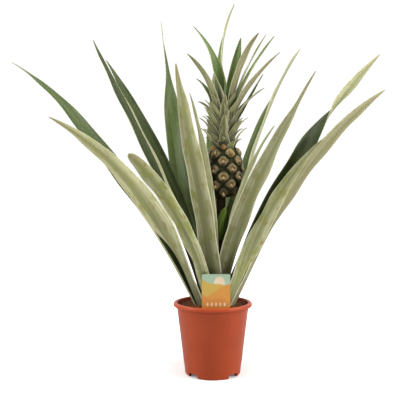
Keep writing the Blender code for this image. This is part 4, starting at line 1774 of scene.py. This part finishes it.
@dataclass
class Soil:
    """The peat mix: a rough bed with loose crumbs and fibres on it."""

    shop: Workshop
    finishes: Finishes
    crumbs: int = 1500
    fibres: int = 90
    base_radius: float = 0.0405
    sides: int = 96
    rows: int = 26
    chance_seed: int = 7

    def __post_init__(self) -> None:
        """Reads the bed's place from the CAD soil."""
        low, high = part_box("soil")
        self.low = low.z
        self.level = high.z
        self.radius = (high.x - low.x) / 2.0

    def surface(self, x: float, y: float) -> float:
        """Returns the bed's height at a point, rough and banked a little towards the plant.

        Args:
            x: how far right of the middle it is.
            y: how far behind the middle it is.

        Returns:
            The height.
        """
        reach = math.hypot(x, y)
        rough = noise.noise(Vector((x * 90.0, y * 90.0, 3.0))) * 0.0016
        rough += noise.noise(Vector((x * 260.0, y * 260.0, 8.0))) * 0.0009
        bank = 0.0012 * smooth_step((0.045 - reach) / 0.02)
        return self.level - 0.0022 + bank + rough

    def build(self) -> None:
        """Makes the bed, the crumbs and the fibres as one piece."""
        form = bmesh.new()
        radii = [self.radius * row / self.rows for row in range(1, self.rows + 1)] + [self.base_radius]
        made = [bmesh.ops.create_circle(form, segments=self.sides, radius=radius) for radius in radii]
        rings = [circle["verts"] for circle in made]
        *upper, bottom = rings
        for corner in (corner for ring in upper for corner in ring):
            corner.co.z = self.surface(corner.co.x, corner.co.y)
        for corner in bottom:
            corner.co.z = self.low
        bridge(form, rings, self.sides)
        bmesh.ops.recalc_face_normals(form, faces=form.faces)
        chance = random.Random(self.chance_seed)
        for _ in range(self.crumbs):
            self.crumb(form, chance)
        for _ in range(self.fibres):
            self.fibre(form, chance)
        self.shop.piece("peat_soil", form, [self.finishes.peat], "soil", ["soil"])

    def spot(self, chance: random.Random, margin: float) -> Vector:
        """Returns a random point on the bed, clear of the pot's wall by the margin.

        Args:
            chance: what it is drawn from.
            margin: how far it keeps from the wall.

        Returns:
            The point.
        """
        reach = math.sqrt(chance.uniform(0.10, 1.0)) * (self.radius - margin)
        turn = chance.uniform(0.0, math.tau)
        x, y = reach * math.cos(turn), reach * math.sin(turn)
        return Vector((x, y, self.surface(x, y)))

    def crumb(self, form: Form, chance: random.Random) -> None:
        """Adds one lump of peat.

        Args:
            form: the bmesh it is added to.
            chance: what its size and place are drawn from.
        """
        size = 0.0006 + 0.0021 * chance.random() ** 2.2
        spot = self.spot(chance, size * 1.3)
        made = bmesh.ops.create_icosphere(form, subdivisions=1, radius=size)["verts"]
        squash = (chance.uniform(0.7, 1.25), chance.uniform(0.6, 1.0), chance.uniform(0.5, 0.8))
        bmesh.ops.scale(form, vec=squash, verts=made)
        for corner in made:
            corner.co *= chance.uniform(0.75, 1.2)
        turn = Matrix.Rotation(chance.uniform(0.0, math.tau), 3, "Z")
        turn @= Matrix.Rotation(chance.uniform(-0.6, 0.6), 3, "X")
        bmesh.ops.rotate(form, cent=(0.0, 0.0, 0.0), matrix=turn, verts=made)
        bmesh.ops.translate(form, vec=spot + Vector((0.0, 0.0, size * 0.25)), verts=made)

    def fibre(self, form: Form, chance: random.Random) -> None:
        """Adds one short bent fibre lying on the bed.

        Args:
            form: the bmesh it is added to.
            chance: what its length and place are drawn from.
        """
        spot = self.spot(chance, 0.006)
        length = chance.uniform(0.004, 0.011)
        turn = chance.uniform(0.0, math.tau)
        bow = chance.uniform(-0.25, 0.25) * length
        rings = []
        for step in range(5):
            share = step / 4.0 - 0.5
            ring = bmesh.ops.create_circle(form, segments=5, radius=0.00022 - 0.0001 * abs(share))["verts"]
            place = (bow * (1.0 - 4.0 * share * share), 0.0, share * length)
            bmesh.ops.translate(form, vec=place, verts=ring)
            rings.append(ring)
        made = [corner for ring in rings for corner in ring]
        bridge(form, rings, 5)
        lay = Matrix.Rotation(turn, 3, "Z") @ Matrix.Rotation(math.pi / 2.0, 3, "Y")
        bmesh.ops.rotate(form, cent=(0.0, 0.0, 0.0), matrix=lay, verts=made)
        bmesh.ops.translate(form, vec=spot + Vector((0.0, 0.0, 0.0009)), verts=made)


@dataclass
class Label:
    """The plant label: a printed card on a pointed stake, cut from one sheet."""

    shop: Workshop
    finishes: Finishes
    stake_width: float = 0.016
    stake_length: float = 0.042
    point: float = 0.008
    corner: float = 0.002

    def build(self) -> None:
        """Makes the card and its stake as one sheet."""
        low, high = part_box("plant_label")
        bottom = low.z + self.stake_length
        centre = (low + high) / 2.0
        half = (high.x - low.x) / 2.0
        stake = self.stake_width / 2.0
        form = bmesh.new()
        corners = bmesh.ops.create_grid(form, x_segments=3, y_segments=1, size=1.0)["verts"]
        columns = (-half, -stake, stake, half)
        for corner in corners:
            place = round((corner.co.x + 1.0) * 1.5)
            corner.co = Vector((columns[place], 0.0, high.z if corner.co.y > 0.0 else bottom))
        foot = next(
            edge
            for edge in form.edges
            if all(abs(c.co.z - bottom) < 1e-6 and abs(c.co.x) < stake + 1e-6 for c in edge.verts)
        )
        tips = [corner for corner in corners if abs(abs(corner.co.x) - half) < 1e-6]
        for drop, width in ((self.stake_length - self.point, 1.0), (self.point, 0.02)):
            grown = bmesh.ops.extrude_edge_only(form, edges=[foot])["geom"]
            foot, ends = of_kind(grown, Edge)[0], of_kind(grown, Corner)
            bmesh.ops.translate(form, vec=(0.0, 0.0, -drop), verts=ends)
            bmesh.ops.scale(form, vec=(width, 1.0, 1.0), verts=ends)
        bmesh.ops.bevel(
            form, geom=tips, offset=self.corner, segments=5, profile=0.5, affect="VERTICES", material=-1
        )
        bmesh.ops.translate(form, vec=(centre.x, low.y, 0.0), verts=form.verts)
        bmesh.ops.recalc_face_normals(form, faces=form.faces)
        solid = bmesh.ops.extrude_face_region(form, geom=list(form.faces))["geom"]
        bmesh.ops.translate(form, vec=(0.0, high.y - low.y, 0.0), verts=of_kind(solid, Corner))
        bmesh.ops.recalc_face_normals(form, faces=form.faces)
        middle = (centre.x, centre.y, (high.z + bottom) / 2.0)
        card = CardFinish(centre=middle, size=(2.0 * half, high.z - bottom))
        print_finish = card.make(self.finishes.grain)
        self.shop.piece("plant_tag", form, [print_finish], "label_card", ["plant_label"])


# Studio


@dataclass(frozen=True)
class Softbox:
    """One soft area light aimed at the plant."""

    name: str
    place: Triple
    size: Pair
    power: float
    aim: Triple = (0.0, 0.0, 0.25)

    def build(self) -> None:
        """Hangs the light."""
        data = bpy.data.lights.new(self.name, "AREA")
        data.shape = "RECTANGLE"
        data.size, data.size_y = self.size
        data.energy = self.power
        light = put(self.name, data)
        light.location = self.place
        light.rotation_euler = (Vector(self.aim) - Vector(self.place)).to_track_quat("-Z", "Y").to_euler()


@dataclass
class Studio:
    """A plain pale floor under a white sky that is brighter behind the plant, softboxes and the camera."""

    floor_size: float = 12.0
    floor_colour: Colour = (0.88, 0.88, 0.87)
    floor_bounce: Colour = (0.50, 0.50, 0.49)
    floor_glow: Pair = (0.12, 0.75)
    sky: Pair = (0.28, 0.95)
    camera_place: Triple = (-0.0194, -0.85, 0.2627)
    lens: float = 50.0
    lights: tuple[Softbox, ...] = (
        Softbox("left_softbox", (-1.2, -0.45, 0.9), (0.6, 1.1), 16.0),
        Softbox("right_softbox", (1.2, -0.45, 0.8), (0.6, 1.1), 19.0),
        Softbox("top_softbox", (0.0, -0.3, 1.6), (1.2, 1.0), 13.0),
    )

    def build(self) -> None:
        """Lays the floor, lights the room and sets the camera."""
        self.lay_floor()
        self.light_sky()
        for light in self.lights:
            light.build()
        self.set_camera()

    def lay_floor(self) -> None:
        """Lays the floor just under the pot's feet, a little brighter to look at than it is as a light."""
        form = bmesh.new()
        bmesh.ops.create_grid(form, x_segments=1, y_segments=1, size=self.floor_size / 2.0)
        bmesh.ops.translate(form, vec=(0.0, 0.0, -0.0002), verts=form.verts)
        mesh = mesh_of("floor", form)
        coat = bpy.data.materials.new("floor_paint")
        coat.use_nodes = True
        shader = coat.node_tree.nodes["Principled BSDF"]
        wiring = Wiring(coat.node_tree)
        seen = wiring.add("ShaderNodeLightPath").outputs["Is Camera Ray"]
        wiring.feed(shader.inputs["Base Color"], wiring.mix(seen, self.floor_bounce, self.floor_colour))
        away = wiring.add("ShaderNodeVectorMath", operation="LENGTH")
        wiring.feed(away.inputs[0], wiring.object_place())
        glow = wiring.spread(away.outputs["Value"], 0.04, 0.60, *self.floor_glow)
        wiring.feed(shader.inputs["Emission Strength"], wiring.times(seen, glow))
        shader.inputs["Emission Color"].default_value = (1.0, 1.0, 1.0, 1.0)
        shader.inputs["Roughness"].default_value = 0.9
        shader.inputs["Specular IOR Level"].default_value = 0.1
        mesh.materials.append(coat)
        floor = put("floor", mesh)

    def light_sky(self) -> None:
        """Gives a white sky, brighter to look at than it is as a light and dimmer in front of the plant."""
        world = bpy.data.worlds.new("studio_sky")
        world.use_nodes = True
        wiring = Wiring(world.node_tree)
        background = world.node_tree.nodes["Background"]
        background.inputs["Color"].default_value = (1.0, 1.0, 1.0, 1.0)
        seen = wiring.add("ShaderNodeLightPath").outputs["Is Camera Ray"]
        facing = wiring.parts(wiring.add("ShaderNodeTexCoord").outputs["Generated"])[1]
        glow = wiring.spread(facing, -0.5, 0.8, *self.sky)
        strength = wiring.math("MAXIMUM", glow, wiring.times(seen, 1.05))
        wiring.feed(background.inputs["Strength"], strength)
        bpy.context.scene.world = world

    def set_camera(self) -> None:
        """Sets the level camera in front of the plant."""
        data = bpy.data.cameras.new("front_camera")
        data.lens = self.lens
        data.sensor_width = 36.0
        data.clip_start = 0.01
        camera = put("front_camera", data)
        camera.location = self.camera_place
        camera.rotation_euler = (math.pi / 2.0, 0.0, 0.0)
        bpy.context.scene.camera = camera
        bpy.context.scene.view_settings.view_transform = "Standard"


def main() -> None:
    """Builds the plant from the pot up, then the studio."""
    logging.basicConfig(level=logging.INFO, format="%(message)s")
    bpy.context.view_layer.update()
    shop = Workshop()
    finishes = Finishes()
    fruit = Fruit(shop, finishes)
    Pot(shop, finishes).build()
    Soil(shop, finishes).build()
    Label(shop, finishes).build()
    Stalk(shop, finishes, fruit_bottom=fruit.centre.z).build()
    Rosette(shop, finishes).build()
    fruit.build()
    Crown(shop, finishes).build()
    Studio().build()


if __name__ == "__main__":
    main()
